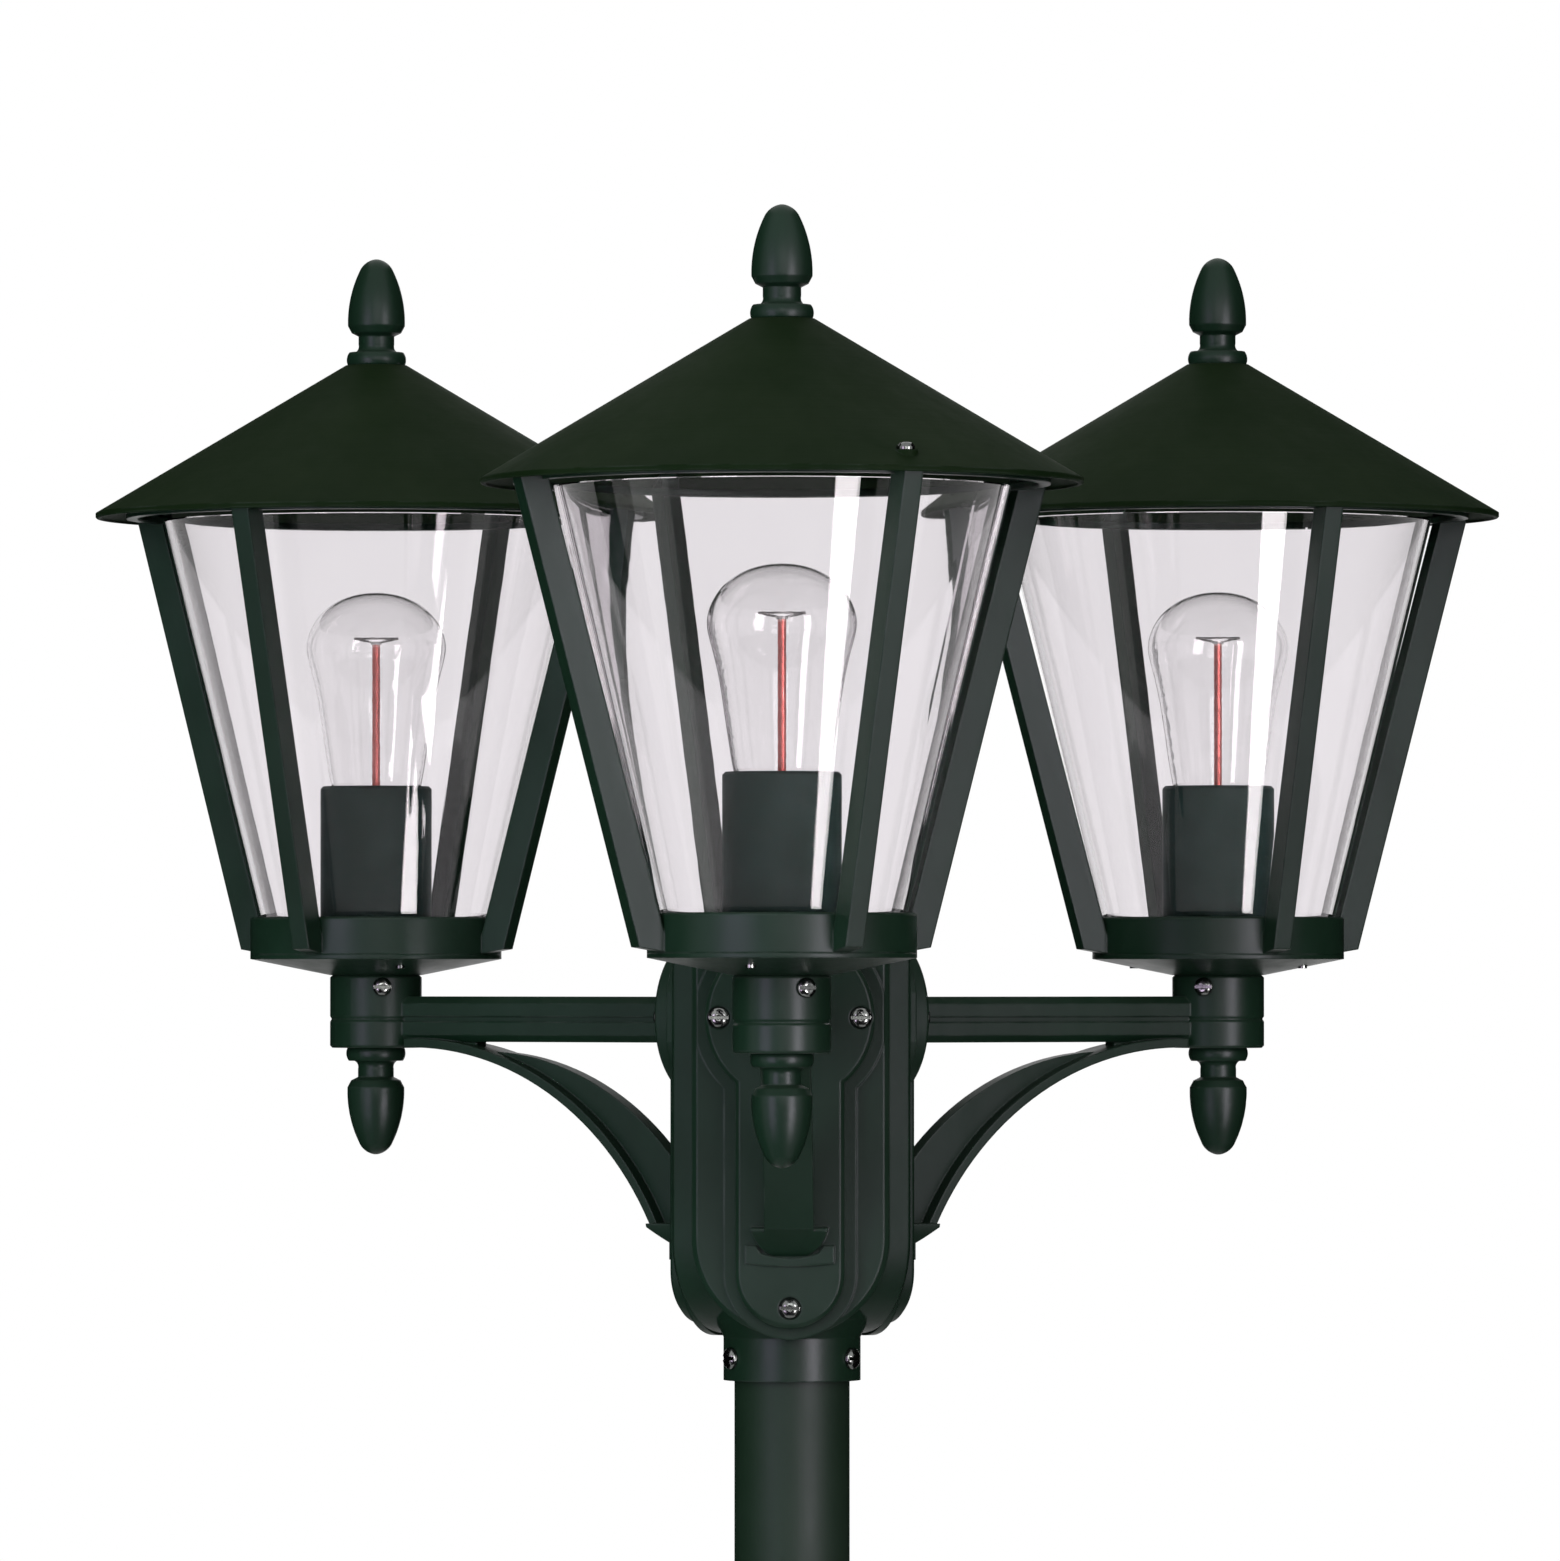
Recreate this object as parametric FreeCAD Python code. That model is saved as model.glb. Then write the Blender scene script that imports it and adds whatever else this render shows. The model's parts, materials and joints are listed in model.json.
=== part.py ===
"""Triple head lamp post: three round lanterns on bracket arms, a hub casting, a tube and a foot.

Millimetres, +Z up.  The origin is on the ground at the axis of the post, and the front
lantern stands towards -Y.  A bearing is an angle about the post or a lantern: 0 points to
-Y and a positive bearing turns towards +X.
"""
import FreeCAD, Part
import math
import os
from FreeCAD import Vector

os.makedirs("parts", exist_ok=True)

# ---------------------------------------------------------------- layout of the whole post
ARM_HEIGHT = 1674.0            # centre line of the arms above the ground
ARM_REACH = 209.0              # post axis to lantern axis
ARM_BEARINGS = {"front": 0.0, "right": 120.0, "left": -120.0}
LANTERN_TURNS = {"front": 27.4, "right": -66.4, "left": 63.9}   # first fin's bearing
FIT_GAP = 0.3                  # between pieces that turn, slide or drop into each other
SLIP_GAP = 0.1                 # between pieces pushed together for good
OVERLAP = 1.0                  # how far pieces run into each other where they are one casting
OVERCUT = 1.0                  # how far a cut runs past a face
HOLE_RELIEF = 1.0              # room beyond the tip of a screw

# ---------------------------------------------------------------- post tube and foot
TUBE_RADIUS = 24.15
TUBE_WALL = 2.5
TUBE_SEAT_HEIGHT = 16.0        # ledge in the foot that the tube stands on
TUBE_TOP_DROP = 100.0          # top of the tube below the arm line
FOOT_RADIUS = 115.0
FOOT_EDGE_HEIGHT = 9.0
FOOT_EDGE_BEVEL = 2.0
FOOT_RIM_WIDTH = 34.0          # flat rim that takes the ground bolts
FOOT_RIM_RISE = 4.0
FOOT_NECK_WALL = 8.0
FOOT_BELL_HEIGHT = 78.0        # where the bell runs into the neck
FOOT_BELL_HOLLOW = 9.5         # how deep the bell's curve is, across and down
FOOT_HEIGHT = 128.0
FOOT_BEAD = 3.0
FOOT_LIP_TAPER = 1.0
FOOT_BOLT_CIRCLE = 192.0
FOOT_BOLT_HOLE = 11.0
FOOT_BOLT_COUNT = 4
FOOT_BOLT_BEARING = 0.0        # of the first hole
CABLE_ENTRY_RADIUS = 18.0
FOOT_SCREW_HEIGHT = 108.0
FOOT_SCREW_RADIUS = 4.0
FOOT_SCREW_COUNT = 3

# ---------------------------------------------------------------- hub casting and its cap
PAD_DISTANCE = 38.0            # post axis to the back of an arm plate
PAD_STEP = 3.0                 # raised pad on each face of the hub
PAD_BORDER = 5.0               # pad around the arm plate
FACE_HALF_WIDTH = 41.0
FACE_BOTTOM_DROP = 133.0
HUB_TOP = 37.0                 # above the arm line
HUB_BEVEL = 2.0
HUB_CORE_RADIUS = 32.4         # inside the faces, seen only below them
HUB_CORE_DROP = 126.0
COLLAR_RADIUS = 28.75
COLLAR_TOP_DROP = 134.0
COLLAR_DROP = 152.0
COLLAR_SCREW_DROP = 142.5
COLLAR_SCREW_RADIUS = 2.5
COLLAR_SCREW_BEARINGS = (60.0, 180.0, 300.0)
WIRING_RADIUS = 26.0           # hollow inside the hub
TUBE_LEDGE = 1.6               # width of the ledge that rests on the tube
LEDGE_THICKNESS = 4.0
CAP_RADIUS = 37.0
CAP_EDGE = 2.4
CAP_RISE = 4.8
CAP_FLAT_RADIUS = 5.0          # flat middle of the dome
CAP_CURVE_RADIUS = 22.2        # where the dome has most of its rise
CAP_CURVE_RISE = 4.1
CAP_SKIRT_DEPTH = 5.0
CAP_SKIRT_WALL = 3.0
CAP_SCREW_CIRCLE = 31.5
CAP_SCREW_RADIUS = 1.8
CAP_SCREW_GRIP = 8.0           # how far a cap screw reaches into the hub
TERMINAL_SIZE = (26.0, 12.0, 17.0)
TERMINAL_DROP = 72.0           # underside of the terminal block below the arm line
TERMINAL_POLES = 3
TERMINAL_PITCH = 6.8
TERMINAL_WALL_GAP = 3.0        # from the wall of the wiring space
TERMINAL_HOLE_RADIUS = 1.8
LUG_HEIGHT = 4.0
LUG_ROOT = 2.0                 # how far the lug runs into the hub's wall

# ---------------------------------------------------------------- bracket arm
PLATE_THICKNESS = 9.0
PLATE_HEAD_RADIUS = 35.3
PLATE_HALF_WIDTH = 22.6
PLATE_BOTTOM_DROP = 129.0
PLATE_BEVEL = 1.6
PLATE_SCREW_SPREAD = 29.5
PLATE_SCREW_DROP = 120.6
PLATE_SCREW_RADIUS = 2.4
PLATE_SCREW_GRIP = 7.5         # how far a plate screw reaches into the hub
PLATE_SCREW_SEAT = 1.2         # depth of the round seat under the head
SCREW_HEAD_RATIO = 1.85        # pan head to shank
SCREW_HEAD_HEIGHT = 2.8
SCREW_HEAD_SIDE = 1.1          # upright part of the head's edge
SCREW_CROWN_RATIO = 0.75       # radius of the crown's shoulder to the head's
SCREW_CROWN_HEIGHT = 2.45      # height of that shoulder
SCREW_SLOT_WIDTH = 1.5
SCREW_SLOT_DEPTH = 1.2
GRUB_SLOT_WIDTH = 1.0
BAR_HEIGHT = 19.4
BAR_DROP = 1.2                 # middle of the bar and of the grooves below the arm line
BAR_WIDTH = 15.0
BAR_BEVEL = 3.0
GROOVE_WIDTH = 2.4
GROOVE_DEPTH = 1.4
CABLE_BORE = 4.2               # radius of the cable way through the arm
BOSS_RADIUS = 19.7
BOSS_TOP = 17.6
BOSS_DROP = 13.6
BOSS_BEVEL = 1.0
SPIGOT_RADIUS = 14.0
SPIGOT_DEPTH = 11.5
SPIGOT_WALL = 3.5
BOSS_WELL_DROP = 5.0           # floor of the boss's well below the arm line
SWIVEL_SCREW_HEIGHT = 12.6     # above the arm line
SWIVEL_SCREW_RADIUS = 2.2
SWIVEL_SCREW_BEARINGS = {"front": 30.0, "right": -19.0, "left": 11.0}
WEB_THICKNESS = 7.5
WEB_TOP = ((155.0, -14.8), (80.0, -37.9), (49.0, -70.0))       # reach, height, as for the pairs below
WEB_BOTTOM = ((188.0, -13.4), (99.5, -43.2), (63.5, -88.6))
FLANGE_WIDTH = 20.5
FLANGE_THICKNESS = 3.8
HEEL_HALF_WIDTH = 16.0         # rounded foot of the brace, where it meets the plate
HEEL_TOP = 87.0                # these two are drops below the arm line
HEEL_BOTTOM = 100.5
HEEL_REACH = 62.4
HEEL_SLOPE = ((66.0, -86.0), (45.0, -100.5))                   # sloping underside of the foot
LIP_RISE = 2.2                 # raised smile under the foot, off the plate's face
LIP_HALF_WIDTH = 18.4
LIP_ENDS = (94.6, 101.9)       # upper and lower edge of each end, as drops
LIP_HORN_WIDTH = 14.0          # half width inside the raised ends
LIP_DIP_HALF_WIDTH = 12.0
LIP_DIP = (97.8, 99.8)         # upper edge beside the ends and in the middle, as drops
LIP_BOTTOM = 103.2

# ---------------------------------------------------------------- finial, both ways up
FINIAL_COLLAR_RADIUS = 12.25
FINIAL_COLLAR_HEIGHT = 5.6
FINIAL_COLLAR_BULGE = 0.5
FINIAL_COLLAR_TAPER = 0.6
FINIAL_WAIST_RADIUS = 7.7
FINIAL_WAIST_CURVE = (8.1, 6.6)         # radius, height, as for the pairs below
FINIAL_WAIST_START = 9.0
FINIAL_WAIST_END = 12.5
FINIAL_CUP_BOTTOM = (10.65, 14.0)
FINIAL_CUP_HEIGHT = 17.0
FINIAL_SIDE = (11.2, 29.0)
FINIAL_SHOULDER = (6.9, 41.4)
FINIAL_NOSE = (3.9, 44.6)
FINIAL_HEIGHT = 45.8
FINIAL_TIP_RADIUS = 0.8        # tiny flat at the tip
FINIAL_STUD_RADIUS = 3.0
ROOF_STUD_LENGTH = 15.0
PENDANT_STUD_LENGTH = 8.0

# ---------------------------------------------------------------- lantern frame and base
RING_RADIUS = 54.0
RING_WALL = 3.0
RING_BOTTOM = 26.5             # heights in a lantern are above the arm line
RING_TOP = 42.5
RING_TOP_BEVEL = 0.8
SHELF_THICKNESS = 3.0
SHELF_INNER_RADIUS = 33.0
BASE_EDGE = 2.0
BASE_FLOOR = 2.0               # from the boss to the inside of the base
FIN_THICKNESS = 8.0
FIN_DEPTH = 12.2
FIN_FOOT_RADIUS = 64.8
FIN_FOOT_HEIGHT = 28.7
FIN_FOOT_RISE = 0.2            # foot of the fin above the ring's lower edge, at the ring
FIN_TOP_RADIUS = 116.7
FIN_COUNT = 4
ROOF_REST_GAP = 0.4            # upright, between the fins and the roof
TOP_RING_DROP = 0.2            # underside of the top ring below the roof's rim
TOP_RING_HEIGHT = 3.0
TOP_RING_WIDTH = 5.0
TOP_RING_STEP = 2.0            # how far the top ring lies inside the fins
BASE_SCREW_CIRCLE = 38.5
BASE_SCREW_RADIUS = 1.9
BASE_SCREW_LENGTH = 9.0
BASE_SCREW_BEARINGS = (-45.0, 135.0)
NIPPLE_RADIUS = 5.0
NIPPLE_BORE = 3.6
NIPPLE_ENGAGEMENT = 7.0        # thread length into the lampholder

# ---------------------------------------------------------------- clear cover
COVER_BOTTOM_RADIUS = 47.2     # outside, at the shelf
COVER_TOP_RADIUS = 91.6        # outside, at the open top
COVER_TOP_DROP = 1.0           # open top below the roof's rim
COVER_WALL = 3.0

# ---------------------------------------------------------------- roof
ROOF_OVERHANG = 3.9            # rim outside the tops of the fins
ROOF_RIM_HEIGHT = 213.8
ROOF_RIM_EDGE = 2.2
ROOF_RIM_BEVEL = 0.5
ROOF_RIM_LIP = 1.4             # extra width of the turned down rim
ROOF_TOP_RADIUS = 13.2
ROOF_RISE = 66.2               # from the rim's lower edge to the top
ROOF_SKIN = 2.6                # measured upright
ROOF_SHOULDER = 1.0            # width of the top's edge outside the inner cone
ROOF_BOSS_RADIUS = 8.0
ROOF_BOSS_DEPTH = 13.0
ROOF_SCREW_INSET = 7.2         # roof screws inside the tops of the fins
ROOF_SCREW_RADIUS = 1.9
ROOF_SCREW_LENGTH = 16.0
ROOF_SEAT_WALL = 1.0           # around the head of a roof screw
ROOF_SCREW_BEARINGS = (0.0, 180.0)

# ---------------------------------------------------------------- lampholder
HOLDER_RADIUS = 23.9
HOLDER_TOP = 99.0
HOLDER_RIM_BEVEL = 1.2
HOLDER_SLEEVE_WALL = 1.9
HOLDER_SLEEVE_FLOOR = 84.0
HOLDER_SOCKET_FLOOR = 57.0
HOLDER_CHAMBER_RADIUS = 17.0
HOLDER_CHAMBER_HEIGHT = 14.0
SHELL_WALL = 0.8
CONTACT_RADIUS = 4.0
CONTACT_THICKNESS = 0.8
CONTACT_POST_RADIUS = 1.4
CONTACT_POST_LENGTH = 8.0
CONTACT_SPACE = 2.0            # between the contact and the shell

# ---------------------------------------------------------------- bulb
CAP_THREAD_RADIUS = 13.2
CAP_THREAD_DEPTH = 0.7
CAP_THREAD_PITCH = 3.6
CAP_THREAD_TURNS = 5
CAP_WALL = 0.6
CAP_BUTTON_RADIUS = 4.6
CAP_BUTTON_HEIGHT = 2.6
CAP_BUTTON_FLARE = 0.6
CAP_TAPER = 3.0
BULB_BOTTOM = 60.4             # tip of the cap's button
BULB_TOP = 182.4
BULB_WIDEST = 158.5            # height of the widest place
BULB_RADIUS = 30.0
BULB_CROWN = ((11.5, 0.93), (20.6, 0.735), (27.2, 0.41))    # radius, share of crown height
BULB_SIDE = ((28.7, 151.0), (26.2, 141.0), (23.3, 124.0), (20.6, 106.0), (18.9, 97.0), (15.0, 90.6))
BULB_NECK_DEPTH = 6.0          # how far the glass reaches into the cap
BULB_WALL = 0.9
STEM_RADIUS = 1.7
STEM_TOP = 160.0
STEM_SEAT_DEPTH = 5.0          # foot of the stem below the cap's edge
STEM_FLARE_EDGE = 1.2
STEM_FLARE_CURVE = (4.0, 4.5)  # radius, height above the stem's foot
STEM_FLARE_HEIGHT = 13.0
STEM_FLARE_END = 0.5           # wider than the stem at the end of the flare
STEM_TAPER_LENGTH = 4.0
FILAMENT_HALF_WIDTH = 9.5
FILAMENT_WIRE = 0.45
FILAMENT_RISE = 2.6
FILAMENT_BUTTON_LIP = 0.7

# ---------------------------------------------------------------- values worked out from these
ORIGIN = Vector(0, 0, 0)
UP = Vector(0, 0, 1)
FRONT = Vector(0, -1, 0)
THROUGH = 400.0                # longer than any hole is deep
SAME_POINT = 1e-6
SAME_PLANE = 1e-4
PLATE_FACE = PAD_DISTANCE + PLATE_THICKNESS
SOCKET_BORE = TUBE_RADIUS + FIT_GAP
RING_INNER_RADIUS = RING_RADIUS - RING_WALL
SHELF_TOP = RING_BOTTOM + SHELF_THICKNESS
ROOF_RADIUS = FIN_TOP_RADIUS + ROOF_OVERHANG
ROOF_SCREW_CIRCLE = FIN_TOP_RADIUS - ROOF_SCREW_INSET
FIN_SLOPE = (FIN_TOP_RADIUS - FIN_FOOT_RADIUS) / (ROOF_RIM_HEIGHT - FIN_FOOT_HEIGHT)
ROOF_CONE_BASE = ROOF_RIM_HEIGHT + ROOF_RIM_EDGE
ROOF_TOP_HEIGHT = ROOF_RIM_HEIGHT + ROOF_RISE
COVER_TOP = ROOF_RIM_HEIGHT - COVER_TOP_DROP
TOP_RING_BOTTOM = ROOF_RIM_HEIGHT - TOP_RING_DROP
ROOF_SLOPE = (ROOF_TOP_HEIGHT - ROOF_CONE_BASE) / (ROOF_RADIUS - ROOF_TOP_RADIUS)
SHELL_RADIUS = CAP_THREAD_RADIUS + FIT_GAP
CAP_TOP = BULB_BOTTOM + CAP_BUTTON_HEIGHT + CAP_TAPER + CAP_THREAD_PITCH * (CAP_THREAD_TURNS + 1)


# ---------------------------------------------------------------- small helpers
def outline(start, *steps):
    """Closed wire in the XZ plane.  A step is a point, or two points for an arc through the first."""
    edges = []
    here = Vector(start[0], 0, start[1])
    for step in steps:
        if isinstance(step[0], tuple):
            middle = Vector(step[0][0], 0, step[0][1])
            there = Vector(step[1][0], 0, step[1][1])
            edges.append(Part.Arc(here, middle, there).toShape())
        else:
            there = Vector(step[0], 0, step[1])
            edges.append(Part.LineSegment(here, there).toShape())
        here = there
    home = Vector(start[0], 0, start[1])
    if (here - home).Length > SAME_POINT:
        edges.append(Part.LineSegment(here, home).toShape())
    return Part.Wire(edges)


def turned(*steps):
    """Solid of revolution about Z from an outline of radii and heights."""
    return Part.Face(outline(*steps)).revolve(ORIGIN, UP, 360)


def disc(radius, bottom, top, x=0.0, y=0.0):
    """Upright cylinder between two heights."""
    return Part.makeCylinder(radius, top - bottom, Vector(x, y, bottom), UP)


def rod(radius, start, end):
    """Cylinder between two points."""
    path = end - start
    return Part.makeCylinder(radius, path.Length, start, path)


def block(width, depth, height, centre_x, centre_y, bottom):
    """Box with its centre over a point."""
    corner = Vector(centre_x - width / 2, centre_y - depth / 2, bottom)
    return Part.makeBox(width, depth, height, corner)


def front_slab(wire, near, far):
    """Flat outline pushed out towards the front, from one distance to another."""
    slab = Part.Face(wire).extrude(FRONT * (far - near))
    slab.translate(FRONT * near)
    return slab


def to_bearing(shape, bearing):
    """Copy of a shape made for the front, turned about Z to a bearing."""
    copy = shape.copy()
    copy.rotate(ORIGIN, UP, bearing)
    return copy


def ahead(distance, bearing):
    """Point on the ground plane at a distance and bearing."""
    angle = math.radians(bearing)
    return Vector(distance * math.sin(angle), -distance * math.cos(angle), 0)


def raised(shape, height):
    """Copy of a shape lifted by a height."""
    copy = shape.copy()
    copy.translate(UP * height)
    return copy


def fused(shapes):
    """One solid from overlapping shapes, without seams in flat faces."""
    return shapes[0].fuse(shapes[1:]).removeSplitter()


def edges_at(shape, distance):
    """Edges that lie flat in the plane at a distance towards the front."""
    box_edges = []
    for edge in shape.Edges:
        box = edge.BoundBox
        if abs(box.YMin + distance) < SAME_PLANE and abs(box.YMax + distance) < SAME_PLANE:
            box_edges.append(edge)
    return box_edges


def pan_screw(radius, length):
    """Slotted pan head screw: head above z = 0, shank below."""
    head_radius = radius * SCREW_HEAD_RATIO
    crown = (head_radius * SCREW_CROWN_RATIO, SCREW_CROWN_HEIGHT)
    head = turned((0, 0), (head_radius, 0), (head_radius, SCREW_HEAD_SIDE),
                  (crown, (0, SCREW_HEAD_HEIGHT)))
    slot = block(2 * head_radius + OVERCUT, SCREW_SLOT_WIDTH, SCREW_SLOT_DEPTH + OVERCUT,
                 0, 0, SCREW_HEAD_HEIGHT - SCREW_SLOT_DEPTH)
    return fused([head.cut(slot), disc(radius, -length, SLIP_GAP)])


def grub_screw(radius, length):
    """Headless screw along -Y with its slotted end nearest the front, end at y = 0."""
    body = rod(radius, ORIGIN, FRONT * -length)
    slot = block(GRUB_SLOT_WIDTH, SCREW_SLOT_DEPTH, 2 * radius + 2 * OVERCUT,
                 0, SCREW_SLOT_DEPTH / 2, -radius - OVERCUT)
    return body.cut(slot)


def finial(stud_length, stud_radius):
    """Acorn finial standing on z = 0 with a stud below."""
    body = turned((0, 0), (FINIAL_COLLAR_RADIUS, 0),
                  ((FINIAL_COLLAR_RADIUS + FINIAL_COLLAR_BULGE, FINIAL_COLLAR_HEIGHT / 2),
                   (FINIAL_COLLAR_RADIUS - FINIAL_COLLAR_TAPER, FINIAL_COLLAR_HEIGHT)),
                  (FINIAL_WAIST_CURVE, (FINIAL_WAIST_RADIUS, FINIAL_WAIST_START)),
                  (FINIAL_WAIST_RADIUS, FINIAL_WAIST_END),
                  FINIAL_CUP_BOTTOM, (FINIAL_COLLAR_RADIUS, FINIAL_CUP_HEIGHT),
                  (FINIAL_SIDE, FINIAL_SHOULDER),
                  (FINIAL_NOSE, (FINIAL_TIP_RADIUS, FINIAL_HEIGHT)), (0, FINIAL_HEIGHT))
    return fused([body, disc(stud_radius, -stud_length, FINIAL_COLLAR_HEIGHT / 2)])


# ---------------------------------------------------------------- post
def post_foot():
    """Bell shaped foot with a bolt rim and a socket for the tube."""
    neck = TUBE_RADIUS + SLIP_GAP + FOOT_NECK_WALL
    rim = FOOT_RADIUS - FOOT_RIM_WIDTH
    rim_top = FOOT_EDGE_HEIGHT + FOOT_RIM_RISE
    middle = ((rim + neck) / 2 - FOOT_BELL_HOLLOW, (rim_top + FOOT_BELL_HEIGHT) / 2 - FOOT_BELL_HOLLOW)
    foot = turned((CABLE_ENTRY_RADIUS, 0), (FOOT_RADIUS, 0),
                  (FOOT_RADIUS, FOOT_EDGE_HEIGHT - FOOT_EDGE_BEVEL),
                  (FOOT_RADIUS - FOOT_EDGE_BEVEL, FOOT_EDGE_HEIGHT), (rim, rim_top),
                  (middle, (neck, FOOT_BELL_HEIGHT)),
                  (neck, FOOT_HEIGHT - 3 * FOOT_BEAD),
                  ((neck + FOOT_BEAD, FOOT_HEIGHT - 2 * FOOT_BEAD), (neck, FOOT_HEIGHT - FOOT_BEAD)),
                  (neck - FOOT_LIP_TAPER, FOOT_HEIGHT), (TUBE_RADIUS + SLIP_GAP, FOOT_HEIGHT),
                  (TUBE_RADIUS + SLIP_GAP, TUBE_SEAT_HEIGHT), (CABLE_ENTRY_RADIUS, TUBE_SEAT_HEIGHT))
    for index in range(FOOT_BOLT_COUNT):
        spot = ahead(FOOT_BOLT_CIRCLE / 2, FOOT_BOLT_BEARING + index * 360.0 / FOOT_BOLT_COUNT)
        foot = foot.cut(disc(FOOT_BOLT_HOLE / 2, -OVERCUT, THROUGH, spot.x, spot.y))
    for bearing in foot_screw_bearings():
        hole = rod(FOOT_SCREW_RADIUS + SLIP_GAP, ORIGIN, FRONT * (neck + FOOT_BEAD + OVERCUT))
        foot = foot.cut(raised(to_bearing(hole, bearing), FOOT_SCREW_HEIGHT))
    return foot


def foot_screw_bearings():
    """Bearings of the screws that clamp the tube in the foot."""
    return [index * 360.0 / FOOT_SCREW_COUNT for index in range(FOOT_SCREW_COUNT)]


def foot_screws():
    """Headless screws between the foot's neck and the tube."""
    neck = TUBE_RADIUS + SLIP_GAP + FOOT_NECK_WALL
    screws = []
    for bearing in foot_screw_bearings():
        screw = grub_screw(FOOT_SCREW_RADIUS, FOOT_NECK_WALL)
        screw.translate(FRONT * neck)
        screws.append(raised(to_bearing(screw, bearing), FOOT_SCREW_HEIGHT))
    return Part.makeCompound(screws)


def post_tube():
    """Plain tube from the foot up into the hub."""
    top = ARM_HEIGHT - TUBE_TOP_DROP
    tube = disc(TUBE_RADIUS, TUBE_SEAT_HEIGHT, top)
    return tube.cut(disc(TUBE_RADIUS - TUBE_WALL, TUBE_SEAT_HEIGHT - OVERCUT, top + OVERCUT))


# ---------------------------------------------------------------- hub
def keyhole(border):
    """Outline of an arm plate, widened by a border."""
    head = PLATE_HEAD_RADIUS + border
    half = PLATE_HALF_WIDTH + border
    shoulder = -math.sqrt(head * head - half * half)
    bend = PLATE_HALF_WIDTH - PLATE_BOTTOM_DROP
    return outline((half, shoulder), ((0, head), (-half, shoulder)), (-half, bend),
                   ((0, bend - half), (half, bend)))


def hub_face():
    """Tongue shaped face of the hub behind one arm."""
    bend = FACE_HALF_WIDTH - FACE_BOTTOM_DROP
    face = front_slab(outline((FACE_HALF_WIDTH, HUB_TOP), (-FACE_HALF_WIDTH, HUB_TOP),
                              (-FACE_HALF_WIDTH, bend),
                              ((0, bend - FACE_HALF_WIDTH), (FACE_HALF_WIDTH, bend))),
                      0, PAD_DISTANCE - PAD_STEP)
    face = face.makeChamfer(HUB_BEVEL, edges_at(face, PAD_DISTANCE - PAD_STEP))
    pad = front_slab(keyhole(PAD_BORDER), PAD_DISTANCE - PAD_STEP - OVERLAP, PAD_DISTANCE)
    pad = pad.common(block(2 * FACE_HALF_WIDTH - 2 * HUB_BEVEL, 4 * PAD_DISTANCE, 2 * THROUGH,
                           0, 0, HUB_TOP - 2 * THROUGH))
    return fused([face, pad])


def hub_lug():
    """Small shelf inside the hub for the terminal block."""
    reach = WIRING_RADIUS + LUG_ROOT
    near = WIRING_RADIUS - TERMINAL_SIZE[1]
    return block(TERMINAL_SIZE[0], reach - near, LUG_HEIGHT,
                 0, (reach + near) / 2, -TERMINAL_DROP - LUG_HEIGHT)


def hub_casting():
    """Three faced casting that carries the arms and sits on the tube."""
    core = turned((0, -COLLAR_DROP), (COLLAR_RADIUS, -COLLAR_DROP), (COLLAR_RADIUS, -COLLAR_TOP_DROP),
                  (HUB_CORE_RADIUS, -HUB_CORE_DROP), (HUB_CORE_RADIUS, 0), (0, 0))
    faces = [to_bearing(hub_face(), bearing) for bearing in ARM_BEARINGS.values()]
    hub = fused([core] + faces)
    hub = hub.cut(disc(SOCKET_BORE, -COLLAR_DROP - OVERCUT, -TUBE_TOP_DROP))
    hub = hub.cut(disc(TUBE_RADIUS - TUBE_LEDGE, -TUBE_TOP_DROP - OVERCUT, HUB_TOP))
    hub = hub.cut(disc(WIRING_RADIUS, LEDGE_THICKNESS - TUBE_TOP_DROP, HUB_TOP + OVERCUT))
    hub = fused([hub, hub_lug()])
    for bearing in ARM_BEARINGS.values():
        cable_way = rod(CABLE_BORE, ORIGIN, FRONT * THROUGH)
        hub = hub.cut(to_bearing(cable_way, bearing))
        for hole in plate_screw_spots():
            drill = rod(PLATE_SCREW_RADIUS + SLIP_GAP, hole + FRONT * THROUGH,
                        hole + FRONT * (PAD_DISTANCE - PLATE_SCREW_GRIP))
            hub = hub.cut(to_bearing(drill, bearing))
    for bearing in COLLAR_SCREW_BEARINGS:
        drill = rod(COLLAR_SCREW_RADIUS + SLIP_GAP, ORIGIN, FRONT * (COLLAR_RADIUS + OVERCUT))
        hub = hub.cut(raised(to_bearing(drill, bearing), -COLLAR_SCREW_DROP))
    for x in (-CAP_SCREW_CIRCLE, CAP_SCREW_CIRCLE):
        bottom = HUB_TOP - CAP_SCREW_GRIP - HOLE_RELIEF
        hub = hub.cut(disc(CAP_SCREW_RADIUS + SLIP_GAP, bottom, HUB_TOP + OVERCUT, x, 0))
    return raised(hub, ARM_HEIGHT)


def collar_screws():
    """Headless screws that hold the hub on the tube."""
    screws = []
    for bearing in COLLAR_SCREW_BEARINGS:
        screw = pan_screw(COLLAR_SCREW_RADIUS, COLLAR_RADIUS - TUBE_RADIUS - FIT_GAP)
        screw.rotate(ORIGIN, Vector(1, 0, 0), 90)
        screw.translate(FRONT * COLLAR_RADIUS)
        screws.append(raised(to_bearing(screw, bearing), ARM_HEIGHT - COLLAR_SCREW_DROP))
    return Part.makeCompound(screws)


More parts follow.
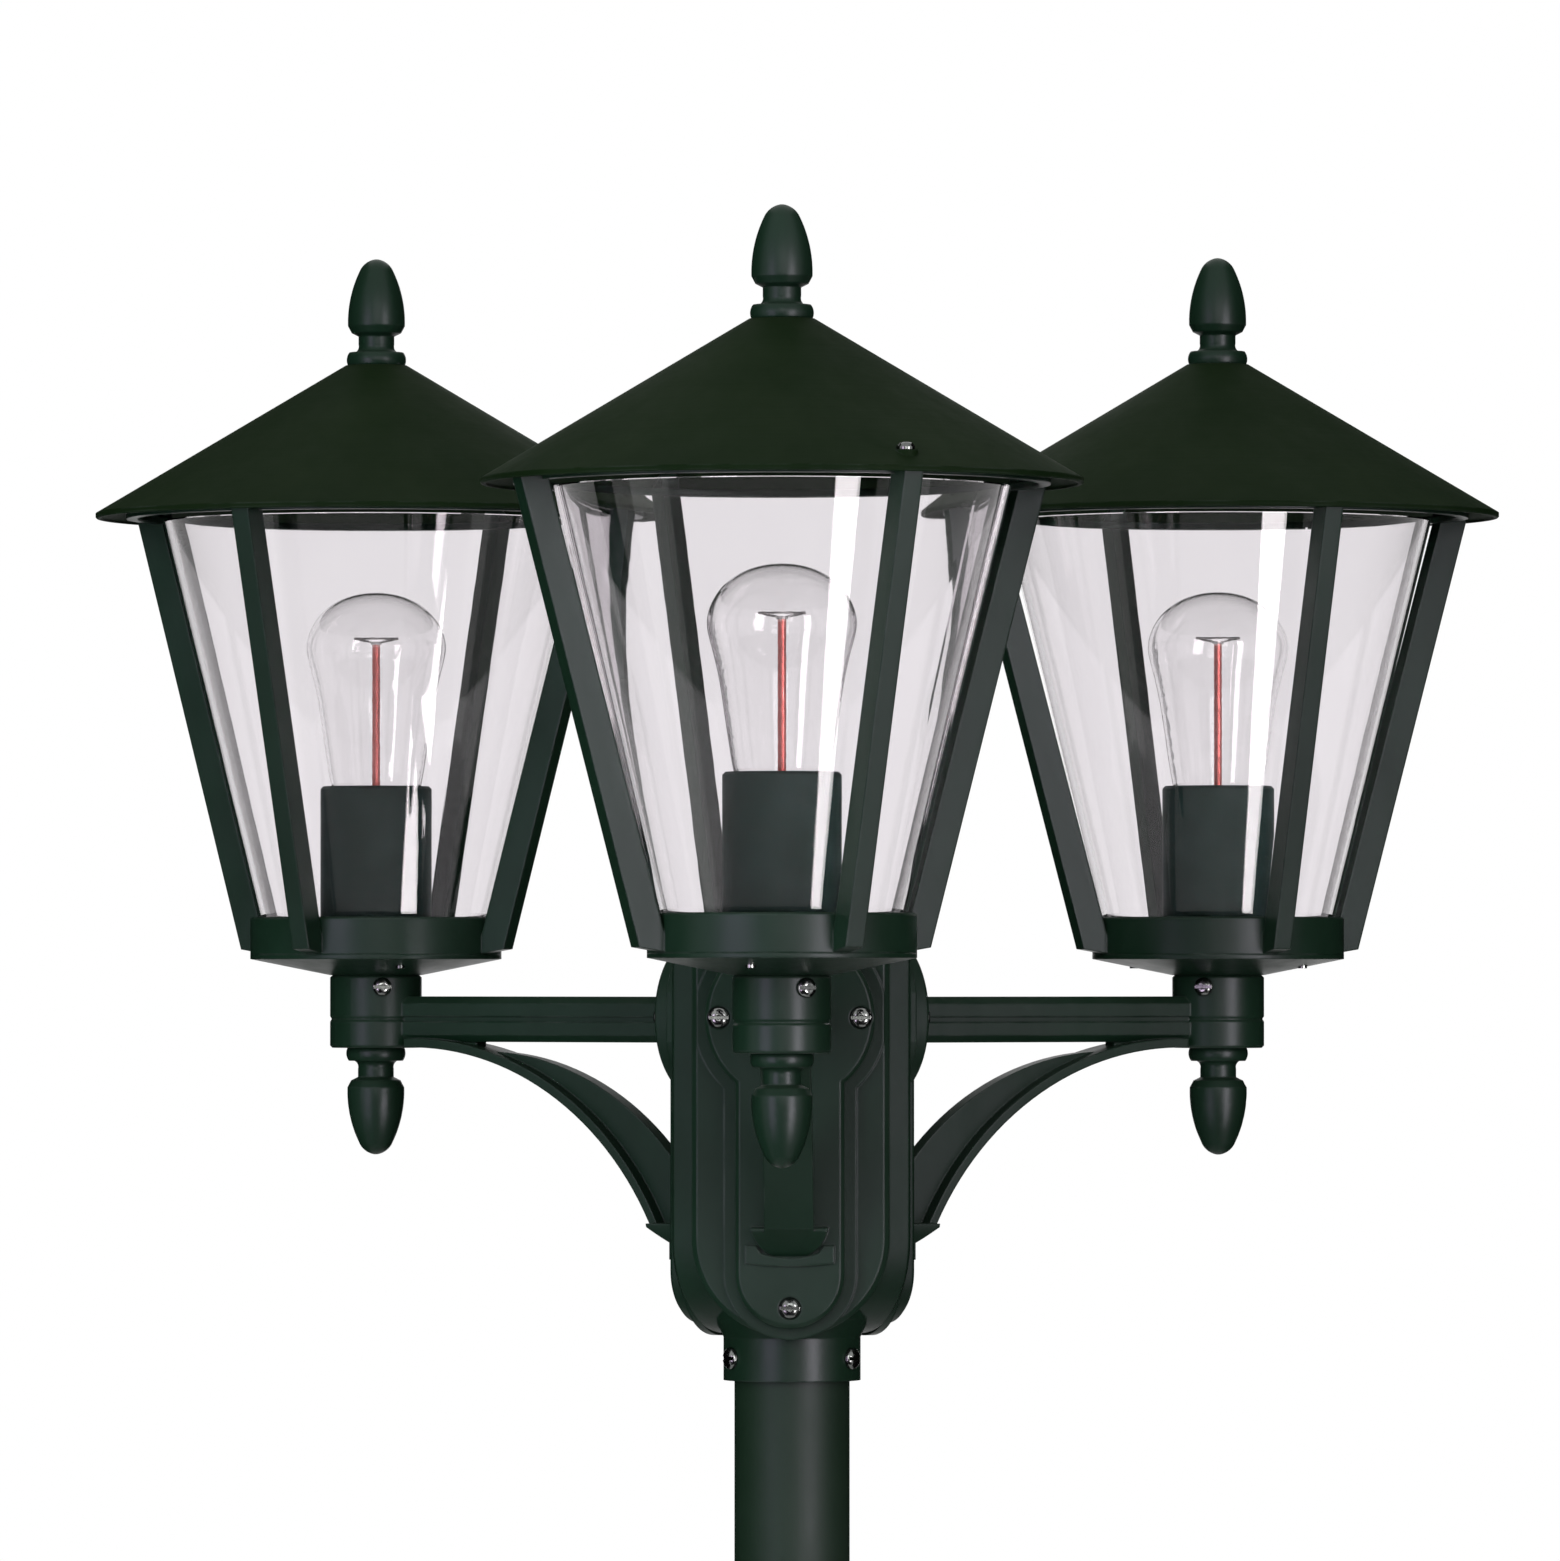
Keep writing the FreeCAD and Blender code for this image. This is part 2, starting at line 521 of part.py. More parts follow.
def hub_cap():
    """Low domed cap over the wiring space."""
    skirt = WIRING_RADIUS - FIT_GAP
    cap = turned((0, HUB_TOP), (skirt - CAP_SKIRT_WALL, HUB_TOP),
                 (skirt - CAP_SKIRT_WALL, HUB_TOP - CAP_SKIRT_DEPTH),
                 (skirt, HUB_TOP - CAP_SKIRT_DEPTH), (skirt, HUB_TOP), (CAP_RADIUS, HUB_TOP),
                 (CAP_RADIUS, HUB_TOP + CAP_EDGE),
                 ((CAP_CURVE_RADIUS, HUB_TOP + CAP_CURVE_RISE),
                  (CAP_FLAT_RADIUS, HUB_TOP + CAP_RISE)), (0, HUB_TOP + CAP_RISE))
    for x in (-CAP_SCREW_CIRCLE, CAP_SCREW_CIRCLE):
        cap = cap.cut(disc(CAP_SCREW_RADIUS + SLIP_GAP, HUB_TOP - OVERCUT, THROUGH, x, 0))
        head = CAP_SCREW_RADIUS * SCREW_HEAD_RATIO + FIT_GAP
        cap = cap.cut(disc(head, HUB_TOP + CAP_EDGE, THROUGH, x, 0))
    return raised(cap, ARM_HEIGHT)


def hub_cap_screws():
    """Two screws through the cap."""
    screws = []
    for x in (-CAP_SCREW_CIRCLE, CAP_SCREW_CIRCLE):
        screw = pan_screw(CAP_SCREW_RADIUS, CAP_EDGE + CAP_SCREW_GRIP)
        screw.translate(Vector(x, 0, ARM_HEIGHT + HUB_TOP + CAP_EDGE))
        screws.append(screw)
    return Part.makeCompound(screws)


def terminal_block():
    """Connector block on the lug inside the hub."""
    width, depth, height = TERMINAL_SIZE
    centre = WIRING_RADIUS - depth / 2 - TERMINAL_WALL_GAP
    body = block(width, depth, height, 0, centre, -TERMINAL_DROP)
    inside = disc(WIRING_RADIUS - FIT_GAP, -TERMINAL_DROP - OVERCUT, height - TERMINAL_DROP + OVERCUT)
    body = body.common(inside)
    for index in range(TERMINAL_POLES):
        x = (index - (TERMINAL_POLES - 1) / 2) * TERMINAL_PITCH
        wire_way = disc(TERMINAL_HOLE_RADIUS, -TERMINAL_DROP + height / 2, THROUGH, x, centre)
        body = body.cut(wire_way)
    return raised(body, ARM_HEIGHT)


# ---------------------------------------------------------------- bracket arms
def plate_screw_spots():
    """Centres of the three screws in an arm plate."""
    return (Vector(-PLATE_SCREW_SPREAD, 0, 0), Vector(PLATE_SCREW_SPREAD, 0, 0),
            Vector(0, 0, -PLATE_SCREW_DROP))


def side_slab(wire, thickness):
    """Outline of reaches and heights, made into a slab in the arm's own upright plane."""
    slab = Part.Face(wire).extrude(Vector(0, thickness, 0))
    slab.translate(Vector(0, -thickness / 2, 0))
    slab.rotate(ORIGIN, UP, -90)
    return slab


def arm_heel():
    """Rounded foot of the brace, standing on the plate."""
    half = HEEL_HALF_WIDTH
    wire = outline((-half, -HEEL_TOP), ((0, -HEEL_BOTTOM), (half, -HEEL_TOP)))
    return front_slab(wire, PAD_DISTANCE + OVERLAP, HEEL_REACH)


def arm_brace():
    """Curved web under the bar, with a flange along its lower edge and a heel at its foot."""
    inner = PAD_DISTANCE + OVERLAP
    web = side_slab(outline(WEB_TOP[0], (WEB_TOP[1], WEB_TOP[2]), (inner, WEB_TOP[2][1]),
                            (inner, WEB_BOTTOM[2][1]), WEB_BOTTOM[2],
                            (WEB_BOTTOM[1], WEB_BOTTOM[0]), (WEB_BOTTOM[0][0], 0), (WEB_TOP[0][0], 0)),
                    WEB_THICKNESS)
    slant = FLANGE_THICKNESS * math.sqrt(0.5)
    upper = [(WEB_BOTTOM[0][0], WEB_BOTTOM[0][1] + FLANGE_THICKNESS),
             (WEB_BOTTOM[1][0] - slant, WEB_BOTTOM[1][1] + slant),
             (WEB_BOTTOM[2][0] - FLANGE_THICKNESS, WEB_BOTTOM[2][1])]
    flange = side_slab(outline(WEB_BOTTOM[0], (WEB_BOTTOM[1], WEB_BOTTOM[2]), upper[2],
                               (upper[1], upper[0])), FLANGE_WIDTH)
    outer, inmost = HEEL_SLOPE
    floor = inmost[1] - OVERCUT
    below = side_slab(outline(outer, inmost, (inmost[0], floor), (outer[0], floor)),
                      2 * (HEEL_HALF_WIDTH + OVERCUT))
    return fused([web, flange, arm_heel()]).cut(below)


def arm_lip():
    """Raised smile on the plate under the foot of the brace."""
    end = LIP_HALF_WIDTH
    horn = LIP_HORN_WIDTH
    dip = LIP_DIP_HALF_WIDTH
    wire = outline((-end, -LIP_ENDS[0]), (-horn, -LIP_ENDS[0]), (-dip, -LIP_DIP[0]),
                   ((0, -LIP_DIP[1]), (dip, -LIP_DIP[0])), (horn, -LIP_ENDS[0]), (end, -LIP_ENDS[0]),
                   (end, -LIP_ENDS[1]), ((0, -LIP_BOTTOM), (-end, -LIP_ENDS[1])))
    return front_slab(wire, PAD_DISTANCE + OVERLAP, PLATE_FACE + LIP_RISE)


def arm_bar():
    """Bevelled bar from the plate to the boss, with a groove along each side."""
    half = BAR_WIDTH / 2
    top = BAR_HEIGHT / 2 - BAR_DROP
    bottom = top - BAR_HEIGHT
    inset = half - BAR_BEVEL
    wire = outline((inset, top), (half, top - BAR_BEVEL), (half, bottom + BAR_BEVEL), (inset, bottom),
                   (-inset, bottom), (-half, bottom + BAR_BEVEL), (-half, top - BAR_BEVEL), (-inset, top))
    bar = front_slab(wire, PAD_DISTANCE + OVERLAP, ARM_REACH)
    length = ARM_REACH - PLATE_FACE
    for side in (-half, half):
        groove = block(2 * GROOVE_DEPTH, length, GROOVE_WIDTH,
                       side, -PLATE_FACE - length / 2, -BAR_DROP - GROOVE_WIDTH / 2)
        bar = bar.cut(groove)
    return bar


def arm_boss():
    """Round boss that carries the lantern, with a groove around its middle."""
    boss = turned((0, -BOSS_DROP), (BOSS_RADIUS - BOSS_BEVEL, -BOSS_DROP),
                  (BOSS_RADIUS, -BOSS_DROP + BOSS_BEVEL), (BOSS_RADIUS, -BAR_DROP - GROOVE_WIDTH / 2),
                  (BOSS_RADIUS - GROOVE_DEPTH / 2, -BAR_DROP), (BOSS_RADIUS, GROOVE_WIDTH / 2 - BAR_DROP),
                  (BOSS_RADIUS, BOSS_TOP - BOSS_BEVEL), (BOSS_RADIUS - BOSS_BEVEL, BOSS_TOP),
                  (0, BOSS_TOP))
    boss.translate(FRONT * ARM_REACH)
    return boss


def arm(place):
    """One bracket arm: plate, bar, brace, lip and boss in one casting."""
    bearing = ARM_BEARINGS[place]
    plate = front_slab(keyhole(0), PAD_DISTANCE, PLATE_FACE)
    plate = plate.makeChamfer(PLATE_BEVEL, edges_at(plate, PLATE_FACE))
    casting = fused([plate, arm_bar(), arm_boss(), arm_lip(), arm_brace()])
    casting = casting.cut(rod(CABLE_BORE, ORIGIN, FRONT * ARM_REACH))
    well = disc(SPIGOT_RADIUS + FIT_GAP, -BOSS_WELL_DROP, BOSS_TOP + OVERCUT)
    well.translate(FRONT * ARM_REACH)
    stud_hole = disc(FINIAL_STUD_RADIUS + SLIP_GAP, -BOSS_DROP - OVERCUT, OVERCUT - BOSS_WELL_DROP)
    stud_hole.translate(FRONT * ARM_REACH)
    casting = casting.cut(well).cut(stud_hole)
    screw_way = rod(SWIVEL_SCREW_RADIUS + SLIP_GAP, ORIGIN, FRONT * (BOSS_RADIUS + OVERCUT))
    screw_way = to_bearing(screw_way, SWIVEL_SCREW_BEARINGS[place] - bearing)
    screw_way.translate(FRONT * ARM_REACH + UP * SWIVEL_SCREW_HEIGHT)
    casting = casting.cut(screw_way)
    for spot in plate_screw_spots():
        casting = casting.cut(rod(PLATE_SCREW_RADIUS + SLIP_GAP, spot, spot + FRONT * THROUGH))
        seat = rod(PLATE_SCREW_RADIUS * SCREW_HEAD_RATIO + FIT_GAP,
                   spot + FRONT * (PLATE_FACE - PLATE_SCREW_SEAT), spot + FRONT * THROUGH)
        casting = casting.cut(seat)
    return raised(to_bearing(casting, bearing), ARM_HEIGHT)


def arm_screws():
    """Nine screws, three through each arm plate."""
    screws = []
    for bearing in ARM_BEARINGS.values():
        for spot in plate_screw_spots():
            seat = PLATE_FACE - PLATE_SCREW_SEAT
            screw = pan_screw(PLATE_SCREW_RADIUS, seat - PAD_DISTANCE + PLATE_SCREW_GRIP - FIT_GAP)
            screw.rotate(ORIGIN, Vector(1, 0, 0), 90)
            screw.translate(spot + FRONT * seat)
            screws.append(raised(to_bearing(screw, bearing), ARM_HEIGHT))
    return Part.makeCompound(screws)


def swivel_screws():
    """One small screw in each boss that stops the lantern from turning."""
    screws = []
    for place, bearing in ARM_BEARINGS.items():
        length = BOSS_RADIUS - SPIGOT_RADIUS - FIT_GAP
        screw = pan_screw(SWIVEL_SCREW_RADIUS, length)
        screw.rotate(ORIGIN, Vector(1, 0, 0), 90)
        screw.translate(FRONT * BOSS_RADIUS)
        screw = to_bearing(screw, SWIVEL_SCREW_BEARINGS[place] - bearing)
        screw.translate(FRONT * ARM_REACH + UP * (ARM_HEIGHT + SWIVEL_SCREW_HEIGHT))
        screws.append(to_bearing(screw, bearing))
    return Part.makeCompound(screws)


def pendant_finials():
    """One finial hanging under each boss."""
    finials = []
    for bearing in ARM_BEARINGS.values():
        hanging = finial(PENDANT_STUD_LENGTH, FINIAL_STUD_RADIUS)
        hanging.rotate(ORIGIN, Vector(1, 0, 0), 180)
        hanging.translate(FRONT * ARM_REACH + UP * (ARM_HEIGHT - BOSS_DROP))
        finials.append(to_bearing(hanging, bearing))
    return Part.makeCompound(finials)


# ---------------------------------------------------------------- lantern
def roof_underside(radius):
    """Height of the roof's inner face at a radius."""
    return ROOF_CONE_BASE + (ROOF_RADIUS - radius) * ROOF_SLOPE - ROOF_SKIN


def roof_outside(radius):
    """Height of the roof's outer face at a radius."""
    return ROOF_CONE_BASE + (ROOF_RADIUS - radius) * ROOF_SLOPE


def fin():
    """Flat upright bar on edge, facing the front, cut to the slope of the roof."""
    inner_top = FIN_TOP_RADIUS - FIN_DEPTH
    joint = RING_RADIUS - RING_WALL / 2
    knee = (joint + FIN_DEPTH - FIN_FOOT_RADIUS) / FIN_SLOPE + FIN_FOOT_HEIGHT
    reach = FIN_FOOT_RADIUS + FIN_SLOPE * (roof_underside(0) - ROOF_REST_GAP - FIN_FOOT_HEIGHT)
    tip = reach / (1 + FIN_SLOPE * ROOF_SLOPE)
    wire = outline((joint, RING_BOTTOM + FIN_FOOT_RISE), (FIN_FOOT_RADIUS, FIN_FOOT_HEIGHT),
                   (tip, roof_underside(tip) - ROOF_REST_GAP),
                   (inner_top, roof_underside(inner_top) - ROOF_REST_GAP),
                   (inner_top, ROOF_RIM_HEIGHT), (joint, max(knee, SHELF_TOP)))
    return side_slab(wire, FIN_THICKNESS)


def lantern_frame():
    """Ring with a shelf, four fins and a light ring that ties the fins at the top."""
    ring = turned((SHELF_INNER_RADIUS, RING_BOTTOM), (RING_RADIUS, RING_BOTTOM),
                  (RING_RADIUS, RING_TOP - RING_TOP_BEVEL), (RING_RADIUS - RING_TOP_BEVEL, RING_TOP),
                  (RING_INNER_RADIUS, RING_TOP), (RING_INNER_RADIUS, SHELF_TOP),
                  (SHELF_INNER_RADIUS, SHELF_TOP))
    top_inner = FIN_TOP_RADIUS - FIN_DEPTH - TOP_RING_STEP
    top_ring = turned((top_inner, TOP_RING_BOTTOM), (top_inner + TOP_RING_WIDTH, TOP_RING_BOTTOM),
                      (top_inner + TOP_RING_WIDTH, TOP_RING_BOTTOM + TOP_RING_HEIGHT),
                      (top_inner, TOP_RING_BOTTOM + TOP_RING_HEIGHT))
    fins = [to_bearing(fin(), index * 360.0 / FIN_COUNT) for index in range(FIN_COUNT)]
    frame = fused([ring, top_ring] + fins)
    for bearing in BASE_SCREW_BEARINGS:
        spot = ahead(BASE_SCREW_CIRCLE, bearing)
        frame = frame.cut(disc(BASE_SCREW_RADIUS + SLIP_GAP, 0, RING_TOP, spot.x, spot.y))
    for bearing in ROOF_SCREW_BEARINGS:
        spot = ahead(ROOF_SCREW_CIRCLE, bearing)
        bottom = roof_outside(ROOF_SCREW_CIRCLE) - ROOF_SCREW_LENGTH - HOLE_RELIEF
        frame = frame.cut(disc(ROOF_SCREW_RADIUS + FIT_GAP, bottom, THROUGH, spot.x, spot.y))
    return frame


def lantern_base():
    """Dished base under the ring, with the spigot that drops into the boss."""
    plug = SHELF_INNER_RADIUS - FIT_GAP
    spigot_bottom = BOSS_TOP - SPIGOT_DEPTH
    spigot_bore = SPIGOT_RADIUS - SPIGOT_WALL
    base = turned((spigot_bore, spigot_bottom), (SPIGOT_RADIUS, spigot_bottom),
                  (SPIGOT_RADIUS, BOSS_TOP), (BOSS_RADIUS, BOSS_TOP),
                  (RING_RADIUS, RING_BOTTOM - BASE_EDGE), (RING_RADIUS, RING_BOTTOM),
                  (plug, RING_BOTTOM), (plug, SHELF_TOP), (NIPPLE_RADIUS + SLIP_GAP, SHELF_TOP),
                  (NIPPLE_RADIUS + SLIP_GAP, BOSS_TOP + BASE_FLOOR), (spigot_bore, BOSS_TOP + BASE_FLOOR))
    for bearing in BASE_SCREW_BEARINGS:
        spot = ahead(BASE_SCREW_CIRCLE, bearing)
        hole = disc(BASE_SCREW_RADIUS + SLIP_GAP, SHELF_TOP - BASE_SCREW_LENGTH - HOLE_RELIEF, RING_TOP,
                    spot.x, spot.y)
        base = base.cut(hole)
    return base


def base_screws():
    """Two screws that join the frame's shelf to the base."""
    screws = []
    for bearing in BASE_SCREW_BEARINGS:
        screw = pan_screw(BASE_SCREW_RADIUS, BASE_SCREW_LENGTH)
        screw.translate(ahead(BASE_SCREW_CIRCLE, bearing) + UP * SHELF_TOP)
        screws.append(screw)
    return Part.makeCompound(screws)


def glass_cover():
    """Clear tapered cover, open at both ends."""
    return turned((COVER_BOTTOM_RADIUS - COVER_WALL, SHELF_TOP), (COVER_BOTTOM_RADIUS, SHELF_TOP),
                  (COVER_TOP_RADIUS, COVER_TOP), (COVER_TOP_RADIUS - COVER_WALL, COVER_TOP))


def roof():
    """Conical roof with a boss for the finial and two spot faces for its screws."""
    inner_top = ROOF_TOP_RADIUS - ROOF_SHOULDER
    rim_inner = ROOF_RADIUS - (ROOF_SKIN - ROOF_RIM_EDGE) / ROOF_SLOPE - ROOF_RIM_LIP
    boss_bottom = ROOF_TOP_HEIGHT - ROOF_BOSS_DEPTH
    stud_way = FINIAL_STUD_RADIUS + SLIP_GAP
    roof_solid = turned((stud_way, boss_bottom), (ROOF_BOSS_RADIUS, boss_bottom),
                        (ROOF_BOSS_RADIUS, roof_underside(inner_top)),
                        (inner_top, roof_underside(inner_top)), (rim_inner, roof_underside(rim_inner)),
                        (rim_inner, ROOF_RIM_HEIGHT), (ROOF_RADIUS - ROOF_RIM_BEVEL, ROOF_RIM_HEIGHT),
                        (ROOF_RADIUS, ROOF_RIM_HEIGHT + ROOF_RIM_BEVEL), (ROOF_RADIUS, ROOF_CONE_BASE),
                        (ROOF_TOP_RADIUS, ROOF_TOP_HEIGHT), (stud_way, ROOF_TOP_HEIGHT))
    seat = roof_outside(ROOF_SCREW_CIRCLE)
    head = ROOF_SCREW_RADIUS * SCREW_HEAD_RATIO + FIT_GAP
    for bearing in ROOF_SCREW_BEARINGS:
        spot = ahead(ROOF_SCREW_CIRCLE, bearing)
        pad = disc(head + ROOF_SEAT_WALL, ROOF_RIM_HEIGHT, seat, spot.x, spot.y)
        roof_solid = fused([roof_solid, pad.common(roof_bulk())])
        roof_solid = roof_solid.cut(disc(head, seat, THROUGH, spot.x, spot.y))
        roof_solid = roof_solid.cut(disc(ROOF_SCREW_RADIUS + SLIP_GAP, 0, THROUGH, spot.x, spot.y))
    return roof_solid


def roof_bulk():
    """Everything at or above the roof's inner face."""
    reach = ROOF_RADIUS + OVERCUT
    return turned((0, roof_underside(0)), (reach, roof_underside(reach)), (reach, THROUGH), (0, THROUGH))


def roof_screws():
    """Two upright screws from the roof into two opposite fins."""
    screws = []
    for bearing in ROOF_SCREW_BEARINGS:
        screw = pan_screw(ROOF_SCREW_RADIUS, ROOF_SCREW_LENGTH)
        screw.translate(ahead(ROOF_SCREW_CIRCLE, bearing) + UP * roof_outside(ROOF_SCREW_CIRCLE))
        screws.append(screw)
    return Part.makeCompound(screws)


def roof_finial():
    """Finial standing on the roof."""
    return raised(finial(ROOF_STUD_LENGTH, FINIAL_STUD_RADIUS), ROOF_TOP_HEIGHT)


# ---------------------------------------------------------------- lampholder
def lampholder():
    """Plain round holder with a sleeve around the bulb's neck."""
    sleeve = HOLDER_RADIUS - HOLDER_SLEEVE_WALL
    socket = SHELL_RADIUS + SHELL_WALL + SLIP_GAP
    chamber_top = SHELF_TOP + HOLDER_CHAMBER_HEIGHT
    thread = NIPPLE_RADIUS + SLIP_GAP
    holder = turned((HOLDER_CHAMBER_RADIUS, SHELF_TOP), (HOLDER_RADIUS, SHELF_TOP),
                    (HOLDER_RADIUS, HOLDER_TOP - HOLDER_RIM_BEVEL),
                    (HOLDER_RADIUS - HOLDER_RIM_BEVEL, HOLDER_TOP), (sleeve, HOLDER_TOP),
                    (sleeve, HOLDER_SLEEVE_FLOOR), (socket, HOLDER_SLEEVE_FLOOR),
                    (socket, HOLDER_SOCKET_FLOOR), (0, HOLDER_SOCKET_FLOOR),
                    (0, chamber_top + NIPPLE_ENGAGEMENT), (thread, chamber_top + NIPPLE_ENGAGEMENT),
                    (thread, chamber_top), (HOLDER_CHAMBER_RADIUS, chamber_top))
    post = disc(CONTACT_POST_RADIUS + SLIP_GAP, HOLDER_SOCKET_FLOOR - CONTACT_POST_LENGTH,
                HOLDER_SOCKET_FLOOR + OVERCUT)
    return holder.cut(post)


def nipple():
    """Threaded tube that holds the lampholder on the base and lets the cable through."""
    top = SHELF_TOP + HOLDER_CHAMBER_HEIGHT + NIPPLE_ENGAGEMENT - SLIP_GAP
    bottom = BOSS_TOP + BASE_FLOOR
    tube = disc(NIPPLE_RADIUS, bottom, top)
    return tube.cut(disc(NIPPLE_BORE, bottom - OVERCUT, top + OVERCUT))


def screw_shell():
    """Brass shell that the bulb screws into."""
    outer = SHELL_RADIUS + SHELL_WALL
    floor = HOLDER_SOCKET_FLOOR + SHELL_WALL
    hole = CONTACT_RADIUS + CONTACT_SPACE
    return turned((hole, HOLDER_SOCKET_FLOOR), (outer, HOLDER_SOCKET_FLOOR),
                  (outer, HOLDER_SLEEVE_FLOOR), (SHELL_RADIUS, HOLDER_SLEEVE_FLOOR),
                  (SHELL_RADIUS, floor), (hole, floor))


def centre_contact():
    """Contact button on a post in the holder's floor."""
    top = BULB_BOTTOM - FIT_GAP
    button = disc(CONTACT_RADIUS, top - CONTACT_THICKNESS, top)
    post = disc(CONTACT_POST_RADIUS, HOLDER_SOCKET_FLOOR - CONTACT_POST_LENGTH, top)
    return fused([button, post])


# ---------------------------------------------------------------- bulb
def bulb_cap():
    """Screw cap of the bulb, with rounded thread ridges and a contact button."""
    shell_bottom = BULB_BOTTOM + CAP_BUTTON_HEIGHT + CAP_TAPER
    root = CAP_THREAD_RADIUS - CAP_THREAD_DEPTH
    steps = [(0, BULB_BOTTOM), (CAP_BUTTON_RADIUS, BULB_BOTTOM),
             (CAP_BUTTON_RADIUS + CAP_BUTTON_FLARE, BULB_BOTTOM + CAP_BUTTON_HEIGHT), (root, shell_bottom)]
    for turn in range(CAP_THREAD_TURNS):
        low = shell_bottom + turn * CAP_THREAD_PITCH
        crest = (CAP_THREAD_RADIUS, low + CAP_THREAD_PITCH / 2)
        steps.append((crest, (root, low + CAP_THREAD_PITCH)))
    inside = root - CAP_WALL
    steps += [(root, CAP_TOP), (inside, CAP_TOP), (inside, shell_bottom + CAP_WALL),
              (0, BULB_BOTTOM + CAP_BUTTON_HEIGHT)]
    return turned(*steps)


def bulb_edge(inset):
    """Curve down the side of the bulb from its crown to its neck, drawn in by an inset."""
    crown = BULB_TOP - BULB_WIDEST
    shrink_out = (BULB_RADIUS - inset) / BULB_RADIUS
    shrink_up = (crown - inset) / crown
    points = [Vector(0, 0, BULB_WIDEST + crown * shrink_up)]
    for radius, share in BULB_CROWN:
        points.append(Vector(radius * shrink_out, 0, BULB_WIDEST + crown * share * shrink_up))
    points.append(Vector(BULB_RADIUS - inset, 0, BULB_WIDEST))
    for radius, height in BULB_SIDE:
        points.append(Vector(radius - inset, 0, height))
    points.append(Vector(neck_radius() - inset, 0, CAP_TOP))
    curve = Part.BSplineCurve()
    curve.interpolate(Points=points, InitialTangent=Vector(1, 0, 0), FinalTangent=Vector(0, 0, -1))
    return curve.toShape(), points[0], points[-1]


def neck_radius():
    """Outer radius of the glass where it enters the cap."""
    return CAP_THREAD_RADIUS - CAP_THREAD_DEPTH - CAP_WALL - SLIP_GAP


def bulb_envelope():
    """Thin clear glass of the bulb."""
    outer, outer_top, outer_end = bulb_edge(0)
    inner, inner_top, inner_end = bulb_edge(BULB_WALL)
    seat = CAP_TOP - BULB_NECK_DEPTH
    outer_foot = Vector(outer_end.x, 0, seat)
    inner_foot = Vector(inner_end.x, 0, seat)
    wire = Part.Wire([outer, Part.LineSegment(outer_end, outer_foot).toShape(),
                      Part.LineSegment(outer_foot, inner_foot).toShape(),
                      Part.LineSegment(inner_foot, inner_end).toShape(), inner,
                      Part.LineSegment(inner_top, outer_top).toShape()])
    return Part.Face(wire).revolve(ORIGIN, UP, 360)


def bulb_stem():
    """Stem inside the bulb, flared at the foot."""
    foot = CAP_TOP - STEM_SEAT_DEPTH
    flare = neck_radius() - BULB_WALL - SLIP_GAP
    curve = (STEM_FLARE_CURVE[0], foot + STEM_FLARE_CURVE[1])
    flare_top = foot + STEM_FLARE_HEIGHT
    return turned((0, foot), (flare, foot), (flare, foot + STEM_FLARE_EDGE),
                  (curve, (STEM_RADIUS + STEM_FLARE_END, flare_top)),
                  (STEM_RADIUS, flare_top + STEM_TAPER_LENGTH), (STEM_RADIUS, STEM_TOP), (0, STEM_TOP))


def bulb_filament():
    """Filament wire across the top of the stem, on two short supports."""
    left = Vector(-FILAMENT_HALF_WIDTH, 0, STEM_TOP + FILAMENT_RISE)
    right = Vector(FILAMENT_HALF_WIDTH, 0, STEM_TOP + FILAMENT_RISE)
    hub = Vector(0, 0, STEM_TOP + FILAMENT_RISE / 4)
    button = disc(STEM_RADIUS + FILAMENT_BUTTON_LIP, STEM_TOP, STEM_TOP + FILAMENT_RISE / 2)
    return fused([button, rod(FILAMENT_WIRE, hub, left), rod(FILAMENT_WIRE, hub, right),
                  rod(FILAMENT_WIRE, left, right)])


LANTERN_PIECES = {
    "lantern_frame": lantern_frame, "lantern_base": lantern_base, "base_screws": base_screws,
    "glass_cover": glass_cover, "lampholder": lampholder, "nipple": nipple,
    "screw_shell": screw_shell, "centre_contact": centre_contact,
    "roof": roof, "roof_screws": roof_screws, "roof_finial": roof_finial,
    "bulb_cap": bulb_cap, "bulb_envelope": bulb_envelope, "bulb_stem": bulb_stem,
    "bulb_filament": bulb_filament,
}
SQUARE_TO_VIEW = ("bulb_filament",)      # stays across the front, however the lantern is turned


def save(shape, node):
    """Write one node and print its size."""
    shape.exportStep("parts/" + node + ".step")
    print(node, len(shape.Solids), "solids", round(shape.Volume), "mm3", shape.isValid())


def main():
    """Build every node and write it."""
    save(post_foot(), "post_foot")
    save(foot_screws(), "foot_screws")
    save(post_tube(), "post_tube")
    save(hub_casting(), "hub_casting")
    save(collar_screws(), "collar_screws")
    save(hub_cap(), "hub_cap")
    save(hub_cap_screws(), "hub_cap_screws")
    save(terminal_block(), "terminal_block")
    for place in ARM_BEARINGS:
        save(arm(place), "arm_" + place)
    save(arm_screws(), "arm_screws")
    save(swivel_screws(), "swivel_screws")
    save(pendant_finials(), "pendant_finials")
    for name, make in LANTERN_PIECES.items():
        piece = make()
        for place, bearing in ARM_BEARINGS.items():
            turn = 0.0 if name in SQUARE_TO_VIEW else LANTERN_TURNS[place]
            placed = to_bearing(piece, turn)
            placed.translate(ahead(ARM_REACH, bearing) + UP * ARM_HEIGHT)
            save(placed, name + "_" + place)


main()
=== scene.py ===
"""Finishes, studio and camera for the triple head lamp post."""

import json
import math

